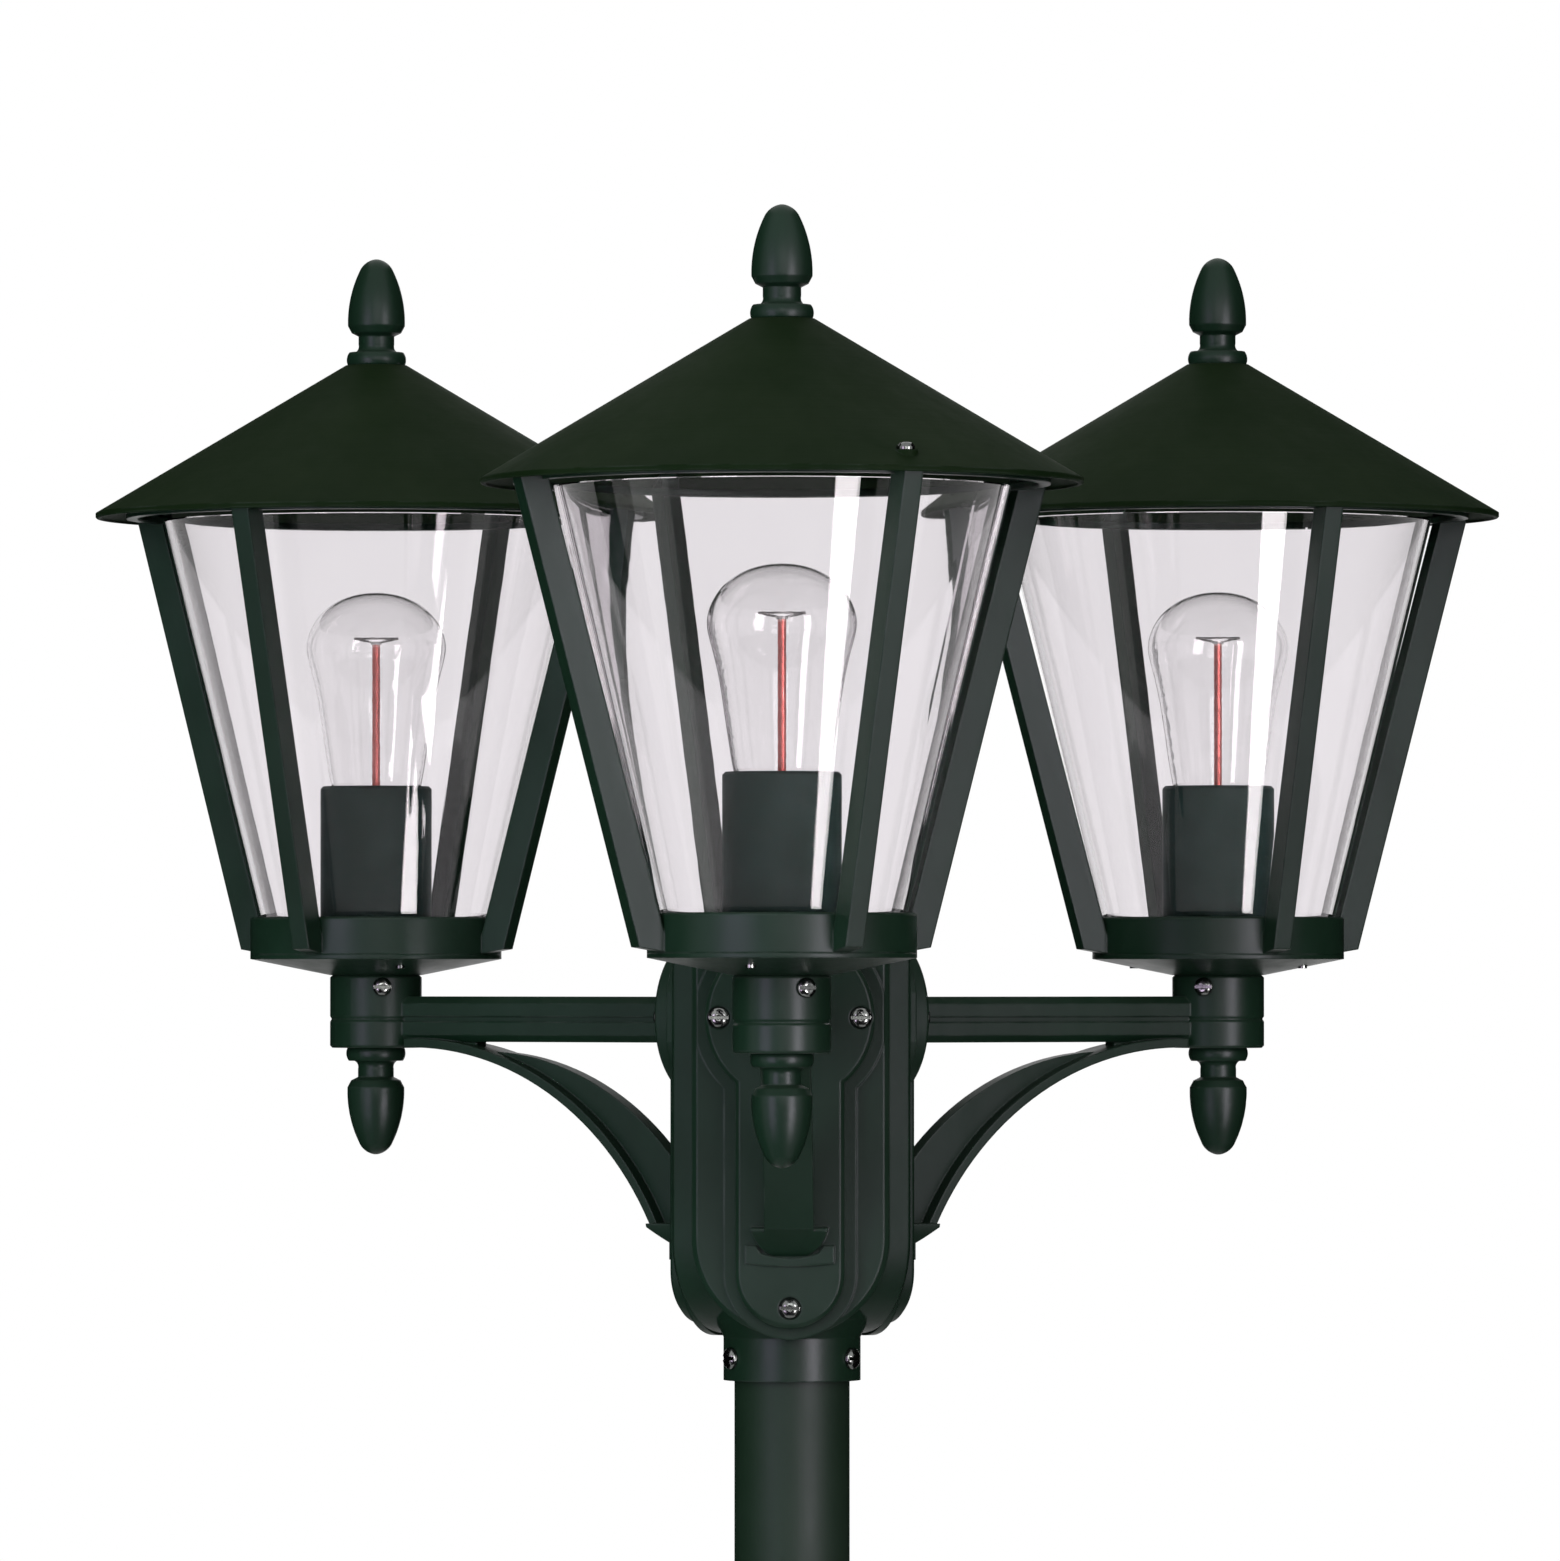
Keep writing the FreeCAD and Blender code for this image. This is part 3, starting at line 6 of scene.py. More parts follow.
import bpy
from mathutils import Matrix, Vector

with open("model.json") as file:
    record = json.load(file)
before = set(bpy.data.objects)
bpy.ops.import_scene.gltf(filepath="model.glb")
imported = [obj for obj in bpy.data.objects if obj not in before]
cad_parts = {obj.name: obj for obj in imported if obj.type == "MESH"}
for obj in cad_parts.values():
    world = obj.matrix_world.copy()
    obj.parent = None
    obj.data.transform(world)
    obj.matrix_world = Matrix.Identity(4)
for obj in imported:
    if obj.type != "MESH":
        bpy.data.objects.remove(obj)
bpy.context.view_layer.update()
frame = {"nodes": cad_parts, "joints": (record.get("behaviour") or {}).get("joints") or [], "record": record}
scene = bpy.context.scene

# ---------------------------------------------------------------- camera, metres and degrees
ARM_LINE = 1.674               # height of the arms above the ground
CAMERA_DISTANCE = 4.326
CAMERA_BEARING = 1.1           # a little right of straight ahead
CAMERA_ABOVE_ARMS = 0.0176
CAMERA_PITCH = 1.082
CAMERA_YAW = 1.1668
CAMERA_LENS = 237.7            # on a sensor 36 mm wide

# ---------------------------------------------------------------- studio
STUDIO_WHITE = 1.0             # what the camera, polished metal and glass see all round
STUDIO_FILL = 0.34             # what dull surfaces get from all round
FLOOR_RADIUS = 7.0
FLOOR_FADE = (2.2, 6.6)        # the floor runs out into the white between these radii

# name: width, height, bearing, distance, height of its middle, watts, colour,
# whether it lights dull faces, whether it shows in gloss
SOFTBOXES = {
    "front_softbox": (2.4, 2.2, 4.0, 4.8, 2.8, 60.0, (1.0, 0.99, 0.97), True, True),
    "left_fill": (0.8, 2.4, -38.0, 3.4, 2.0, 54.0, (0.90, 0.94, 1.0), True, False),
    "right_fill": (0.8, 2.4, 42.0, 3.4, 2.0, 19.0, (1.0, 0.96, 0.95), True, False),
    "left_strip": (1.5, 3.0, -35.0, 3.4, 1.3, 64.0, (0.92, 0.72, 1.0), False, True),
    "right_strip": (1.05, 3.2, 36.5, 3.4, 1.2, 160.0, (1.0, 0.95, 0.97), False, True),
    "overhead_softbox": (2.4, 2.4, 180.0, 0.9, 4.4, 20.0, (1.0, 1.0, 1.0), True, False),
    "rear_softbox": (2.6, 2.2, 172.0, 4.6, 2.4, 40.0, (1.0, 0.99, 0.98), True, False),
}
CARD_NEAR = (1.05, -0.38)      # black cards beside the post: across and back, at their front edge
CARD_FAR = (0.60, 2.80)        # and at their rear edge, just outside the picture
CARD_HEIGHT = 3.2
SCREEN_RADIUS = 5.6            # dark screen behind the camera, seen only by mirrored rays
SCREEN_HALF_ANGLE = 58.0
MAT_START = 1.0                # dark mat on the floor between the post and the screen
MAT_HEIGHT = 0.03
FLOOR_CORNERS = 72
SCREEN_STRIPS = 16

# ---------------------------------------------------------------- finishes, linear colours
CAST_GREEN = (0.005, 0.018, 0.009, 1.0)
CAST_GREEN_PALE = (0.008, 0.025, 0.014, 1.0)
ROOF_GREEN = (0.005, 0.013, 0.004, 1.0)
ROOF_GREEN_PALE = (0.008, 0.017, 0.006, 1.0)
# painted light: paler colour for the roofs' down-facing faces, standing in for light that reaches the
# underside from below
ROOF_UNDERSIDE_PAINTED_LIGHT = (0.010, 0.022, 0.010, 1.0)
TUBE_GREEN = (0.005, 0.018, 0.008, 1.0)
TUBE_GREEN_PALE = (0.008, 0.023, 0.011, 1.0)
COAT_SHEEN = (0.93, 0.87, 1.0, 1.0)
RUBBED_COAT = (0.060, 0.072, 0.066, 1.0)
DUST = (0.16, 0.16, 0.14, 1.0)
ZINC = (0.34, 0.35, 0.34, 1.0)
ZINC_DULL = (0.05, 0.055, 0.055, 1.0)
BRASS = (0.62, 0.42, 0.16, 1.0)
BRASS_DULL = (0.34, 0.21, 0.08, 1.0)
CAP_SHEET = (0.62, 0.60, 0.55, 1.0)
CAP_SHEET_DULL = (0.36, 0.34, 0.30, 1.0)
STEM_COPPER = (0.52, 0.13, 0.12, 1.0)
STEM_COPPER_DARK = (0.36, 0.08, 0.07, 1.0)
TUNGSTEN = (0.13, 0.12, 0.12, 1.0)
TUNGSTEN_PALE = (0.24, 0.23, 0.23, 1.0)
HOLDER_BLACK = (0.010, 0.023, 0.019, 1.0)
HOLDER_GREY = (0.018, 0.034, 0.032, 1.0)
TERMINAL_CREAM = (0.62, 0.59, 0.50, 1.0)
TERMINAL_YELLOWED = (0.50, 0.45, 0.33, 1.0)
COVER_TINT = (0.94, 0.925, 0.94, 1.0)
COVER_SMEAR = (0.91, 0.89, 0.91, 1.0)
BULB_TINT = (1.0, 1.0, 1.0, 1.0)
BULB_SMOKE = (0.98, 0.975, 0.98, 1.0)
FLOOR_PALE = (0.80, 0.80, 0.79, 1.0)
FLOOR_MOTTLE = (0.76, 0.76, 0.75, 1.0)
CARD_BLACK = (0.004, 0.004, 0.004, 1.0)
CARD_BLACK_WORN = (0.008, 0.008, 0.008, 1.0)
COVER_DEPTH = (0.62, 0.43, 0.48, 1.0)      # what is left of white deep inside the moulding
BULB_DEPTH = (0.50, 0.46, 0.47, 1.0)

# ---------------------------------------------------------------- shine, smoothest and dullest patch
CAST_ROUGH = (0.30, 0.44)
ROOF_ROUGH = (0.50, 0.62)
TUBE_ROUGH = (0.48, 0.60)
ZINC_ROUGH = (0.12, 0.22)
BRASS_ROUGH = (0.26, 0.42)
CAP_ROUGH = (0.24, 0.40)
COPPER_ROUGH = (0.30, 0.46)
TUNGSTEN_ROUGH = (0.35, 0.50)
HOLDER_ROUGH = (0.42, 0.56)
TERMINAL_ROUGH = (0.38, 0.52)
COVER_ROUGH = (0.0, 0.03)
BULB_ROUGH = (0.0, 0.02)
FLOOR_ROUGH = (0.70, 0.85)
CARD_ROUGH = (0.85, 0.95)
CAST_GLOSS = 0.19              # strength of the mirror-like part
TUBE_GLOSS = 0.20
ROOF_GLOSS = 0.02
HOLDER_GLOSS = 0.06
TERMINAL_GLOSS = 0.45
FLOOR_GLOSS = 0.1
COVER_INDEX = 1.45             # bending of light in the covers and in the bulbs
BULB_INDEX = 1.42
COVER_DENSITY = 9.0            # how fast the depth colour builds up, per metre
BULB_DENSITY = 40.0


# ---------------------------------------------------------------- node helpers
def add(tree, kind, inputs=None, **settings):
    """New node; an input is either a value or another node's output."""
    made = tree.nodes.new(kind)
    for name, value in settings.items():
        setattr(made, name, value)
    for socket, value in (inputs or {}).items():
        if isinstance(value, bpy.types.NodeSocket):
            tree.links.new(value, made.inputs[socket])
        else:
            made.inputs[socket].default_value = value
    return made


def blended(tree, mask, low, high):
    """Colour that goes from one to another as a mask goes from 0 to 1."""
    mix = add(tree, "ShaderNodeMix", {0: mask}, data_type="RGBA")
    for socket, value in ((6, low), (7, high)):
        if isinstance(value, bpy.types.NodeSocket):
            tree.links.new(value, mix.inputs[socket])
        else:
            mix.inputs[socket].default_value = value
    return mix.outputs[2]


def spread(tree, value, low, high, start=0.0, end=1.0):
    """A value between start and end, spread over another range and held inside it."""
    return add(tree, "ShaderNodeMapRange", {"Value": value, "From Min": start, "From Max": end,
                                            "To Min": low, "To Max": high}).outputs["Result"]


def worked(tree, operation, *values):
    """Result of a sum on one or more values."""
    return add(tree, "ShaderNodeMath", dict(enumerate(values)), operation=operation).outputs[0]


def noise(tree, place, scale, detail=3.0, roughness=0.5):
    """Soft random value over a place."""
    return add(tree, "ShaderNodeTexNoise", {"Vector": place, "Scale": scale, "Detail": detail,
                                            "Roughness": roughness}).outputs["Fac"]


def effect(name, inputs, outputs):
    """Empty node group with named number inputs and outputs, and its end nodes."""
    tree = bpy.data.node_groups.new(name, "ShaderNodeTree")
    for label, value in inputs.items():
        kind = "NodeSocketVector" if value is None else "NodeSocketFloat"
        socket = tree.interface.new_socket(name=label, in_out="INPUT", socket_type=kind)
        if value is not None:
            socket.default_value = value
    for label in outputs:
        kind = "NodeSocketVector" if label == "Normal" else "NodeSocketFloat"
        tree.interface.new_socket(name=label, in_out="OUTPUT", socket_type=kind)
    return tree, add(tree, "NodeGroupInput"), add(tree, "NodeGroupOutput")


# ---------------------------------------------------------------- shared effects
def make_edge_rub():
    """Rounded edges, and a patchy mask of where hands and weather have rubbed them."""
    tree, given, result = effect("edge_rub", {"Place": None, "Width": 0.0012, "Patch Size": 0.02},
                                 ("Mask", "Normal"))
    rounded = add(tree, "ShaderNodeBevel", {"Radius": given.outputs["Width"]}, samples=6)
    surface = add(tree, "ShaderNodeNewGeometry")
    match = add(tree, "ShaderNodeVectorMath", {0: rounded.outputs[0], 1: surface.outputs["Normal"]},
                operation="DOT_PRODUCT").outputs["Value"]
    edge = spread(tree, match, 1.0, 0.0, 0.88, 0.998)
    patches = noise(tree, given.outputs["Place"],
                    worked(tree, "DIVIDE", 1.0, given.outputs["Patch Size"]), 5.0, 0.6)
    mask = worked(tree, "MULTIPLY", edge, spread(tree, patches, 0.0, 1.0, 0.42, 0.62))
    tree.links.new(mask, result.inputs["Mask"])
    tree.links.new(rounded.outputs[0], result.inputs["Normal"])
    return tree


def make_coat_grain():
    """Fine sand and orange peel of a baked powder coat, and its faint mottling."""
    tree, given, result = effect("coat_grain", {"Place": None, "Grain Size": 0.0007, "Peel Size": 0.004,
                                                "Mottle Size": 0.05}, ("Height", "Mottle"))
    place = given.outputs["Place"]
    grain = noise(tree, place, worked(tree, "DIVIDE", 1.0, given.outputs["Grain Size"]), 2.0, 0.6)
    peel = noise(tree, place, worked(tree, "DIVIDE", 1.0, given.outputs["Peel Size"]), 2.0, 0.4)
    mottle = noise(tree, place, worked(tree, "DIVIDE", 1.0, given.outputs["Mottle Size"]), 4.0, 0.55)
    height = worked(tree, "ADD", worked(tree, "MULTIPLY", grain, 0.45), peel)
    tree.links.new(height, result.inputs["Height"])
    tree.links.new(spread(tree, mottle, 0.0, 1.0, 0.3, 0.7), result.inputs["Mottle"])
    return tree


def make_settled_dust():
    """Thin dust on whatever faces up, thicker in patches."""
    tree, given, result = effect("settled_dust", {"Place": None, "Patch Size": 0.03}, ("Mask",))
    surface = add(tree, "ShaderNodeNewGeometry")
    upward = add(tree, "ShaderNodeSeparateXYZ", {0: surface.outputs["Normal"]}).outputs["Z"]
    patches = noise(tree, given.outputs["Place"],
                    worked(tree, "DIVIDE", 1.0, given.outputs["Patch Size"]), 6.0, 0.65)
    mask = worked(tree, "MULTIPLY", spread(tree, upward, 0.0, 1.0, 0.25, 1.0),
                  spread(tree, patches, 0.15, 1.0, 0.35, 0.75))
    tree.links.new(mask, result.inputs["Mask"])
    return tree


def make_looks_down():
    """Mask of the faces that look down, such as the inside of a roof, which the roofs use for painted light.
    """
    tree, given, result = effect("looks_down", {"Place": None, "Patch Size": 0.05}, ("Mask",))
    surface = add(tree, "ShaderNodeNewGeometry")
    upward = add(tree, "ShaderNodeSeparateXYZ", {0: surface.outputs["Normal"]}).outputs["Z"]
    patches = noise(tree, given.outputs["Place"],
                    worked(tree, "DIVIDE", 1.0, given.outputs["Patch Size"]), 4.0, 0.6)
    mask = worked(tree, "MULTIPLY", spread(tree, upward, 1.0, 0.0, -0.7, -0.3),
                  spread(tree, patches, 0.55, 1.0, 0.3, 0.7))
    tree.links.new(mask, result.inputs["Mask"])
    return tree


def make_hand_marks():
    """Uneven shine from handling and rain: broad smears with finer streaks in them."""
    tree, given, result = effect("hand_marks", {"Place": None, "Smear Size": 0.04}, ("Smear",))
    place = given.outputs["Place"]
    scale = worked(tree, "DIVIDE", 1.0, given.outputs["Smear Size"])
    broad = noise(tree, place, scale, 3.0, 0.5)
    tall = add(tree, "ShaderNodeVectorMath", {0: place, 1: (1.0, 1.0, 0.18)}, operation="MULTIPLY")
    streaks = noise(tree, tall.outputs[0], worked(tree, "MULTIPLY", scale, 5.0), 4.0, 0.6)
    smear = worked(tree, "ADD", worked(tree, "MULTIPLY", broad, 0.6),
                   worked(tree, "MULTIPLY", streaks, 0.4))
    tree.links.new(spread(tree, smear, 0.0, 1.0, 0.32, 0.68), result.inputs["Smear"])
    return tree


def make_fine_scratches():
    """Hairline scratches of small metal and moulded pieces."""
    tree, given, result = effect("fine_scratches", {"Place": None, "Spacing": 0.0006}, ("Mask",))
    scale = worked(tree, "DIVIDE", 1.0, given.outputs["Spacing"])
    masks = []
    for stretch in ((1.0, 0.06, 0.5), (0.08, 1.0, 0.35)):
        place = add(tree, "ShaderNodeVectorMath", {0: given.outputs["Place"], 1: stretch},
                    operation="MULTIPLY")
        lines = noise(tree, place.outputs[0], scale, 2.0, 0.5)
        masks.append(spread(tree, lines, 0.0, 1.0, 0.60, 0.72))
    tree.links.new(worked(tree, "MAXIMUM", *masks), result.inputs["Mask"])
    return tree


def make_turning_marks(axes):
    """Rings left by spinning or turning, round whichever lantern axis is nearest."""
    tree, given, result = effect("turning_marks", {"Place": None, "Pitch": 0.002}, ("Height",))
    flat = add(tree, "ShaderNodeVectorMath", {0: given.outputs["Place"], 1: (1.0, 1.0, 0.0)},
               operation="MULTIPLY").outputs[0]
    nearest = None
    for axis in axes:
        reach = add(tree, "ShaderNodeVectorMath", {0: flat, 1: (axis[0], axis[1], 0.0)},
                    operation="DISTANCE").outputs["Value"]
        nearest = reach if nearest is None else worked(tree, "MINIMUM", nearest, reach)
    rings = add(tree, "ShaderNodeTexNoise", {"W": worked(tree, "DIVIDE", nearest, given.outputs["Pitch"]),
                                             "Scale": 1.0, "Detail": 2.0}, noise_dimensions="1D")
    tree.links.new(rings.outputs["Fac"], result.inputs["Height"])
    return tree


LANTERN_AXES = [joint["pos_m"] for joint in frame["joints"] if joint["name"].startswith("lantern_swivel")]
EDGE_RUB = make_edge_rub()
COAT_GRAIN = make_coat_grain()
SETTLED_DUST = make_settled_dust()
LOOKS_DOWN = make_looks_down()
HAND_MARKS = make_hand_marks()
FINE_SCRATCHES = make_fine_scratches()
TURNING_MARKS = make_turning_marks(LANTERN_AXES)


# ---------------------------------------------------------------- materials
class Finish:
    """A material with one Principled shader, its place on the piece, and the shared effects to hand."""

    def __init__(self, name, **constants):
        self.material = bpy.data.materials.new(name)
        self.material.use_nodes = True
        self.tree = self.material.node_tree
        self.shader = self.tree.nodes["Principled BSDF"]
        for socket, value in constants.items():
            self.shader.inputs[socket.replace("_", " ")].default_value = value
        self.place = add(self.tree, "ShaderNodeTexCoord").outputs["Object"]

    def effect(self, group, **inputs):
        made = add(self.tree, "ShaderNodeGroup", node_tree=group)
        self.tree.links.new(self.place, made.inputs["Place"])
        for name, value in inputs.items():
            made.inputs[name.replace("_", " ")].default_value = value
        return made.outputs

    def colour(self, mask, low, high):
        return blended(self.tree, mask, low, high)

    def set(self, socket, source):
        self.tree.links.new(source, self.shader.inputs[socket])

    def source(self, socket):
        """What feeds a socket of the shader so far."""
        return self.shader.inputs[socket].links[0].from_socket

    def relief(self, height, strength, depth, normal=None):
        bump = add(self.tree, "ShaderNodeBump", {"Height": height, "Strength": strength, "Distance": depth})
        if normal is not None:
            self.tree.links.new(normal, bump.inputs["Normal"])
        self.set("Normal", bump.outputs[0])


def coated(name, deep, pale, rough, edge_width, dust, **constants):
    """Baked dark coat: mottled colour, rubbed edges, dust on top, uneven shine and an orange peel."""
    finish = Finish(name, **constants)
    tree = finish.tree
    grain = finish.effect(COAT_GRAIN)
    edges = finish.effect(EDGE_RUB, Width=edge_width)
    settled = finish.effect(SETTLED_DUST)
    marks = finish.effect(HAND_MARKS)
    coat = finish.colour(grain["Mottle"], deep, pale)
    coat = finish.colour(worked(tree, "MULTIPLY", edges["Mask"], 0.5), coat, RUBBED_COAT)
    coat = finish.colour(worked(tree, "MULTIPLY", settled["Mask"], dust), coat, DUST)
    finish.set("Base Color", coat)
    shine = spread(tree, marks["Smear"], *rough)
    finish.set("Roughness", worked(tree, "ADD", shine, worked(tree, "MULTIPLY", settled["Mask"], 0.12)))
    return finish, grain, edges


def cast_coat():
    """Satin powder coat on the castings."""
    finish, grain, edges = coated("paint", CAST_GREEN, CAST_GREEN_PALE, CAST_ROUGH, 0.0011, 0.08,
                                  Specular_IOR_Level=CAST_GLOSS, Specular_Tint=COAT_SHEEN)
    finish.relief(grain["Height"], 0.20, 0.00018, edges["Normal"])
    return finish.material


def roof_coat():
    """Duller coat on the spun roofs, made a little paler inside by painted light on the faces that look
    down, with faint spinning rings under it.
    """
    finish, grain, edges = coated("roof_paint", ROOF_GREEN, ROOF_GREEN_PALE, ROOF_ROUGH, 0.0012, 0.03,
                                  Specular_IOR_Level=ROOF_GLOSS)
    # painted light: the faces that look down, the inside of the roof, are paled in patches as if lit from
    # below
    inside = finish.effect(LOOKS_DOWN)["Mask"]
    finish.set("Base Color", finish.colour(inside, finish.source("Base Color"), ROOF_UNDERSIDE_PAINTED_LIGHT))
    rings = finish.effect(TURNING_MARKS, Pitch=0.0024)["Height"]
    height = worked(finish.tree, "ADD", worked(finish.tree, "MULTIPLY", grain["Height"], 0.5), rings)
    finish.relief(height, 0.22, 0.00015, edges["Normal"])
    return finish.material


def tube_coat():
    """Satin coat on the drawn tube, with faint draw lines along it."""
    finish, grain, edges = coated("tube_paint", TUBE_GREEN, TUBE_GREEN_PALE, TUBE_ROUGH, 0.0010, 0.06,
                                  Specular_IOR_Level=TUBE_GLOSS, Specular_Tint=COAT_SHEEN)
    tree = finish.tree
    along = add(tree, "ShaderNodeVectorMath", {0: finish.place, 1: (1.0, 1.0, 0.012)}, operation="MULTIPLY")
    lines = noise(tree, along.outputs[0], 520.0, 3.0, 0.6)
    height = worked(tree, "ADD", worked(tree, "MULTIPLY", lines, 0.6), grain["Height"])
    finish.relief(height, 0.22, 0.00015, edges["Normal"])
    return finish.material


def bright_metal(name, bright, dull, rough, patch=0.004):
    """Bare metal that has gone dull in patches, with bright edges and hairlines."""
    finish = Finish(name, Metallic=1.0)
    tree = finish.tree
    marks = finish.effect(HAND_MARKS, Smear_Size=patch)
    edges = finish.effect(EDGE_RUB, Width=0.0003, Patch_Size=0.002)
    scratches = finish.effect(FINE_SCRATCHES, Spacing=0.0004)
    metal = finish.colour(marks["Smear"], bright, dull)
    finish.set("Base Color", finish.colour(edges["Mask"], metal, bright))
    shine = spread(tree, marks["Smear"], *rough)
    finish.set("Roughness", worked(tree, "ADD", shine, worked(tree, "MULTIPLY", scratches["Mask"], 0.10)))
    finish.relief(scratches["Mask"], 0.15, 0.00003, edges["Normal"])
    return finish.material


def zinc_plate():
    """Plated screws, dull in broad patches."""
    return bright_metal("zinc_screw", ZINC, ZINC_DULL, ZINC_ROUGH, 0.016)


def brass_turned():
    """Brass of the screw shells and contacts."""
    return bright_metal("brass", BRASS, BRASS_DULL, BRASS_ROUGH)


def cap_sheet():
    """Rolled thin sheet of the bulb caps."""
    return bright_metal("cap_metal", CAP_SHEET, CAP_SHEET_DULL, CAP_ROUGH)


def stem_copper():
    """Copper coloured mount of the filament."""
    return bright_metal("copper_stem", STEM_COPPER, STEM_COPPER_DARK, COPPER_ROUGH)


def filament_tungsten():
    """Grey wire of the filament."""
    return bright_metal("filament_wire", TUNGSTEN_PALE, TUNGSTEN, TUNGSTEN_ROUGH)


def moulded(name, deep, pale, rough, relief, **constants):
    """Moulded plastic: spark eroded grain, uneven shine, faint scratches."""
    finish = Finish(name, **constants)
    tree = finish.tree
    grain = finish.effect(COAT_GRAIN, Grain_Size=0.0004, Peel_Size=0.0016, Mottle_Size=0.012)
    edges = finish.effect(EDGE_RUB, Width=0.0006, Patch_Size=0.006)
    marks = finish.effect(HAND_MARKS, Smear_Size=0.015)
    scratches = finish.effect(FINE_SCRATCHES)
    body = finish.colour(grain["Mottle"], deep, pale)
    finish.set("Base Color", finish.colour(worked(tree, "MULTIPLY", edges["Mask"], 0.4), body, pale))
    shine = spread(tree, marks["Smear"], *rough)
    rubbed = worked(tree, "MULTIPLY", scratches["Mask"], 0.06)
    finish.set("Roughness", worked(tree, "SUBTRACT", shine, rubbed))
    finish.relief(grain["Height"], relief, 0.0001, edges["Normal"])
    return finish.material


def holder_black():
    """Dark moulded lampholder."""
    return moulded("black_plastic", HOLDER_BLACK, HOLDER_GREY, HOLDER_ROUGH, 0.25,
                   Specular_IOR_Level=HOLDER_GLOSS)


def terminal_cream():
    """Pale terminal block, a little yellowed."""
    return moulded("pale_plastic", TERMINAL_YELLOWED, TERMINAL_CREAM, TERMINAL_ROUGH, 0.2,
                   Specular_IOR_Level=TERMINAL_GLOSS)


def clear(name, tint, smear, index, rough, ripple_size, ripple, absorbed, density):
    """Clear piece with faint smears, moulding ripples and a little colour through its thickness."""
    finish = Finish(name, Transmission_Weight=1.0, IOR=index, Metallic=0.0)
    tree = finish.tree
    marks = finish.effect(HAND_MARKS, Smear_Size=0.05)
    scratches = finish.effect(FINE_SCRATCHES, Spacing=0.0009)
    streaked = worked(tree, "MULTIPLY", marks["Smear"], 0.6)
    finish.set("Base Color", finish.colour(streaked, tint, smear))
    haze = spread(tree, marks["Smear"], *rough)
    finish.set("Roughness", worked(tree, "ADD", haze, worked(tree, "MULTIPLY", scratches["Mask"], 0.02)))
    finish.relief(noise(tree, finish.place, 1.0 / ripple_size, 1.0, 0.4), 1.0, ripple)
    body = add(tree, "ShaderNodeVolumeAbsorption", {"Color": absorbed, "Density": density})
    tree.links.new(body.outputs[0], tree.nodes["Material Output"].inputs["Volume"])
    return finish.material


def cover_clear():
    """Moulded clear cover of a lantern."""
    return clear("clear_cover", COVER_TINT, COVER_SMEAR, COVER_INDEX, COVER_ROUGH, 0.035, 0.00006,
                 COVER_DEPTH, COVER_DENSITY)


def bulb_clear():
    """Blown glass of a bulb."""
    return clear("bulb_glass", BULB_TINT, BULB_SMOKE, BULB_INDEX, BULB_ROUGH, 0.02, 0.00002,
                 BULB_DEPTH, BULB_DENSITY)


FINISHES = {
    "paint": cast_coat, "roof_paint": roof_coat, "tube_paint": tube_coat, "zinc_screw": zinc_plate,
    "clear_cover": cover_clear, "bulb_glass": bulb_clear, "black_plastic": holder_black,
    "pale_plastic": terminal_cream, "brass": brass_turned, "cap_metal": cap_sheet,
    "copper_stem": stem_copper, "filament_wire": filament_tungsten,
}


def dress_the_pieces():
    """Give each piece the finish that the record names for it."""
    ready = {slot: make() for slot, make in FINISHES.items()}
    for piece in frame["record"]["subparts"]:
        for place in frame["nodes"][piece["node"]].material_slots:
            place.material = ready[piece["material_slot"]]


# ---------------------------------------------------------------- studio
def build_floor():
    """Round pale floor that runs out into the white."""
    bearings = [math.radians(360 * step / FLOOR_CORNERS) for step in range(FLOOR_CORNERS)]
    rim = [(FLOOR_RADIUS * math.cos(a), FLOOR_RADIUS * math.sin(a), 0.0) for a in bearings]
    mesh = bpy.data.meshes.new("floor")
    mesh.from_pydata(rim, [], [list(range(len(rim)))])
    floor = bpy.data.objects.new("floor", mesh)
    scene.collection.objects.link(floor)
    finish = Finish("floor_pale", Specular_IOR_Level=FLOOR_GLOSS)
    tree = finish.tree
    grain = finish.effect(COAT_GRAIN, Grain_Size=0.002, Peel_Size=0.02, Mottle_Size=0.6)
    finish.set("Base Color", finish.colour(grain["Mottle"], FLOOR_PALE, FLOOR_MOTTLE))
    finish.set("Roughness", spread(tree, grain["Mottle"], *FLOOR_ROUGH))
    finish.relief(grain["Height"], 0.1, 0.0004)
    out = add(tree, "ShaderNodeVectorMath", {0: finish.place}, operation="LENGTH").outputs["Value"]
    fade = spread(tree, out, 0.0, 1.0, *FLOOR_FADE)
    gone = add(tree, "ShaderNodeBsdfTransparent")
    mix = add(tree, "ShaderNodeMixShader", {0: fade, 1: finish.shader.outputs[0], 2: gone.outputs[0]})
    tree.links.new(mix.outputs[0], tree.nodes["Material Output"].inputs["Surface"])
    mesh.materials.append(finish.material)


def build_surroundings():
    """White all round for the camera, polished metal and glass, and a plain level for the rest."""
    world = bpy.data.worlds.new("studio")
    scene.world = world
    world.use_nodes = True
    tree = world.node_tree
    ray = add(tree, "ShaderNodeLightPath").outputs
    seen = worked(tree, "MAXIMUM", ray["Is Camera Ray"], ray["Is Glossy Ray"])
    seen = worked(tree, "MAXIMUM", seen, ray["Is Transmission Ray"])
    level = spread(tree, seen, STUDIO_FILL, STUDIO_WHITE)
    backdrop = tree.nodes["Background"]
    backdrop.inputs["Color"].default_value = (1.0, 1.0, 1.0, 1.0)
    tree.links.new(level, backdrop.inputs["Strength"])


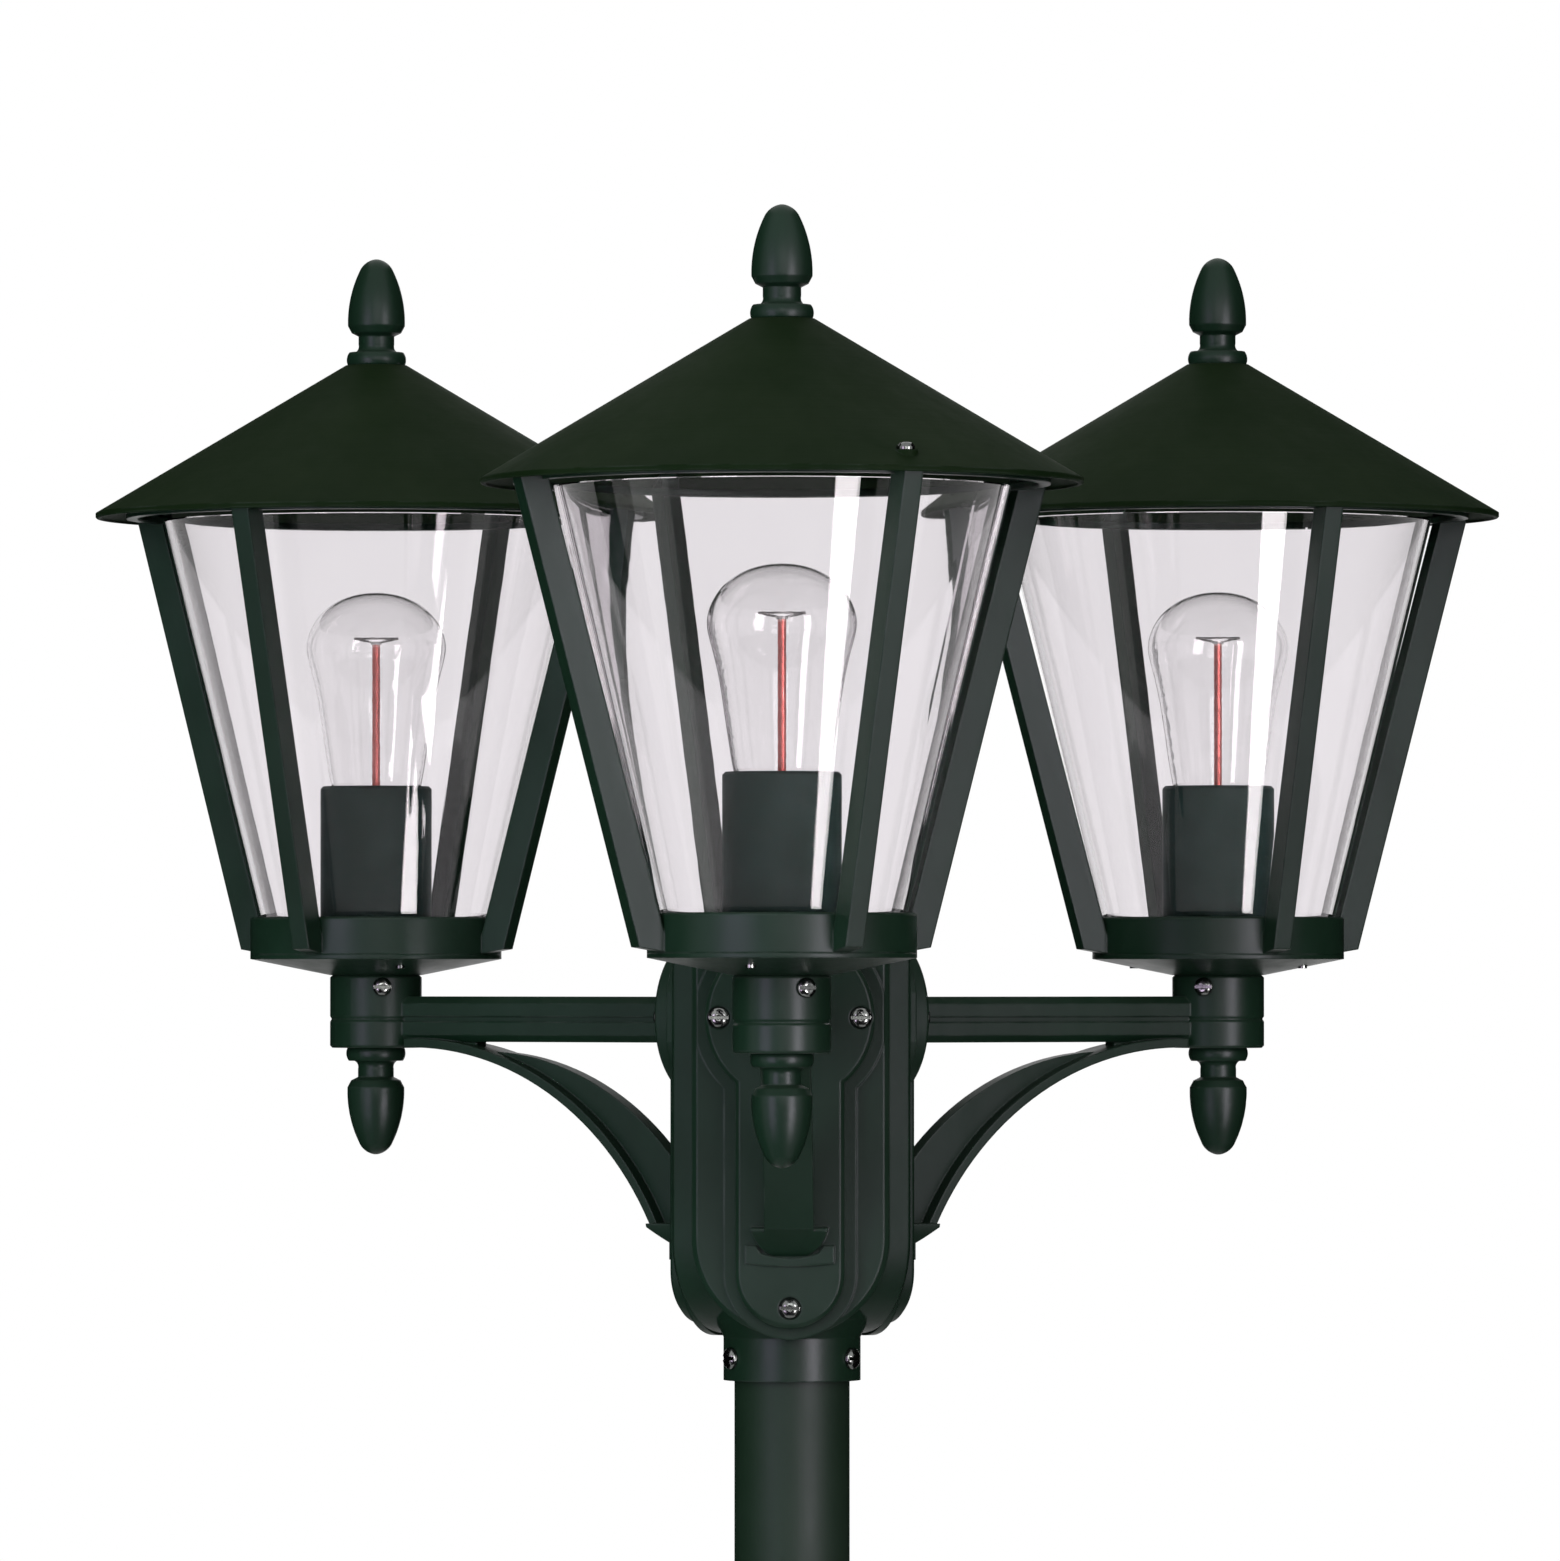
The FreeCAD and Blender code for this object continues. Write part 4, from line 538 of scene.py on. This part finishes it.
def hang_softbox(name, width, height, bearing, distance, middle, watts, colour, dull, gloss):
    """Rectangular lamp that faces the middle of the head."""
    lamp = bpy.data.lights.new(name, "AREA")
    lamp.shape = "RECTANGLE"
    lamp.size = width
    lamp.size_y = height
    lamp.energy = watts
    lamp.color = colour
    hung = bpy.data.objects.new(name, lamp)
    scene.collection.objects.link(hung)
    angle = math.radians(bearing)
    hung.location = (distance * math.sin(angle), -distance * math.cos(angle), middle)
    aim = Vector((0.0, 0.0, ARM_LINE)) - hung.location
    hung.rotation_euler = aim.to_track_quat("-Z", "Y").to_euler()
    hung.visible_camera = False
    hung.visible_diffuse = dull
    hung.visible_glossy = gloss
    hung.visible_transmission = gloss


def keep_off_the_covers(lamp):
    """Let a lamp light everything but the clear covers, so that it leaves no band across them."""
    left_out = bpy.data.collections.new("left_out")
    bpy.data.objects[lamp].light_linking.receiver_collection = left_out
    for piece in frame["record"]["subparts"]:
        if piece["material_slot"] == "clear_cover":
            left_out.objects.link(frame["nodes"][piece["node"]])
    for entry in left_out.collection_objects:
        entry.light_linking.link_state = "EXCLUDE"


def stand_black_cards():
    """Black cards, a dark screen and a dark mat that only mirrored rays see, as in a product studio."""
    finish = Finish("black_card", Specular_IOR_Level=0.0)
    grain = finish.effect(COAT_GRAIN, Grain_Size=0.001, Peel_Size=0.01, Mottle_Size=0.2)
    finish.set("Base Color", finish.colour(grain["Mottle"], CARD_BLACK, CARD_BLACK_WORN))
    finish.set("Roughness", spread(finish.tree, grain["Mottle"], *CARD_ROUGH))
    bearings = [math.radians(SCREEN_HALF_ANGLE * (2.0 * step / SCREEN_STRIPS - 1.0))
                for step in range(SCREEN_STRIPS + 1)]
    inner, outer = [[(reach * math.sin(a), -reach * math.cos(a)) for a in bearings]
                    for reach in (MAT_START, SCREEN_RADIUS)]
    left = [(-CARD_NEAR[0], CARD_NEAR[1]), (-CARD_FAR[0], CARD_FAR[1])]
    cards = {"left_card": (left, 0.0, left, CARD_HEIGHT),
             "right_card": ([CARD_NEAR, CARD_FAR], 0.0, [CARD_NEAR, CARD_FAR], CARD_HEIGHT),
             "dark_screen": (outer, 0.0, outer, CARD_HEIGHT),
             "dark_mat": (inner, MAT_HEIGHT, outer, MAT_HEIGHT)}
    for name, (first, first_height, second, second_height) in cards.items():
        corners = []
        for one, other in zip(first, second):
            corners += [(*one, first_height), (*other, second_height)]
        mesh = bpy.data.meshes.new(name)
        mesh.from_pydata(corners, [], [(n, n + 2, n + 3, n + 1) for n in range(0, len(corners) - 2, 2)])
        mesh.materials.append(finish.material)
        card = bpy.data.objects.new(name, mesh)
        scene.collection.objects.link(card)
        card.visible_camera = False
        card.visible_diffuse = False
        card.visible_transmission = False
        card.visible_shadow = False


def place_camera():
    """The photograph's viewpoint, level with the hub."""
    lens = bpy.data.cameras.new("camera")
    lens.lens = CAMERA_LENS
    lens.clip_end = 100.0
    camera = bpy.data.objects.new("camera", lens)
    scene.collection.objects.link(camera)
    angle = math.radians(CAMERA_BEARING)
    camera.location = (CAMERA_DISTANCE * math.sin(angle), -CAMERA_DISTANCE * math.cos(angle),
                       ARM_LINE + CAMERA_ABOVE_ARMS)
    camera.rotation_euler = (math.radians(90.0 + CAMERA_PITCH), 0.0, math.radians(CAMERA_YAW))
    scene.camera = camera


place_camera()
dress_the_pieces()
build_floor()
build_surroundings()
stand_black_cards()
for name, box in SOFTBOXES.items():
    hang_softbox(name, *box)
keep_off_the_covers("left_strip")
scene.view_settings.view_transform = "Standard"
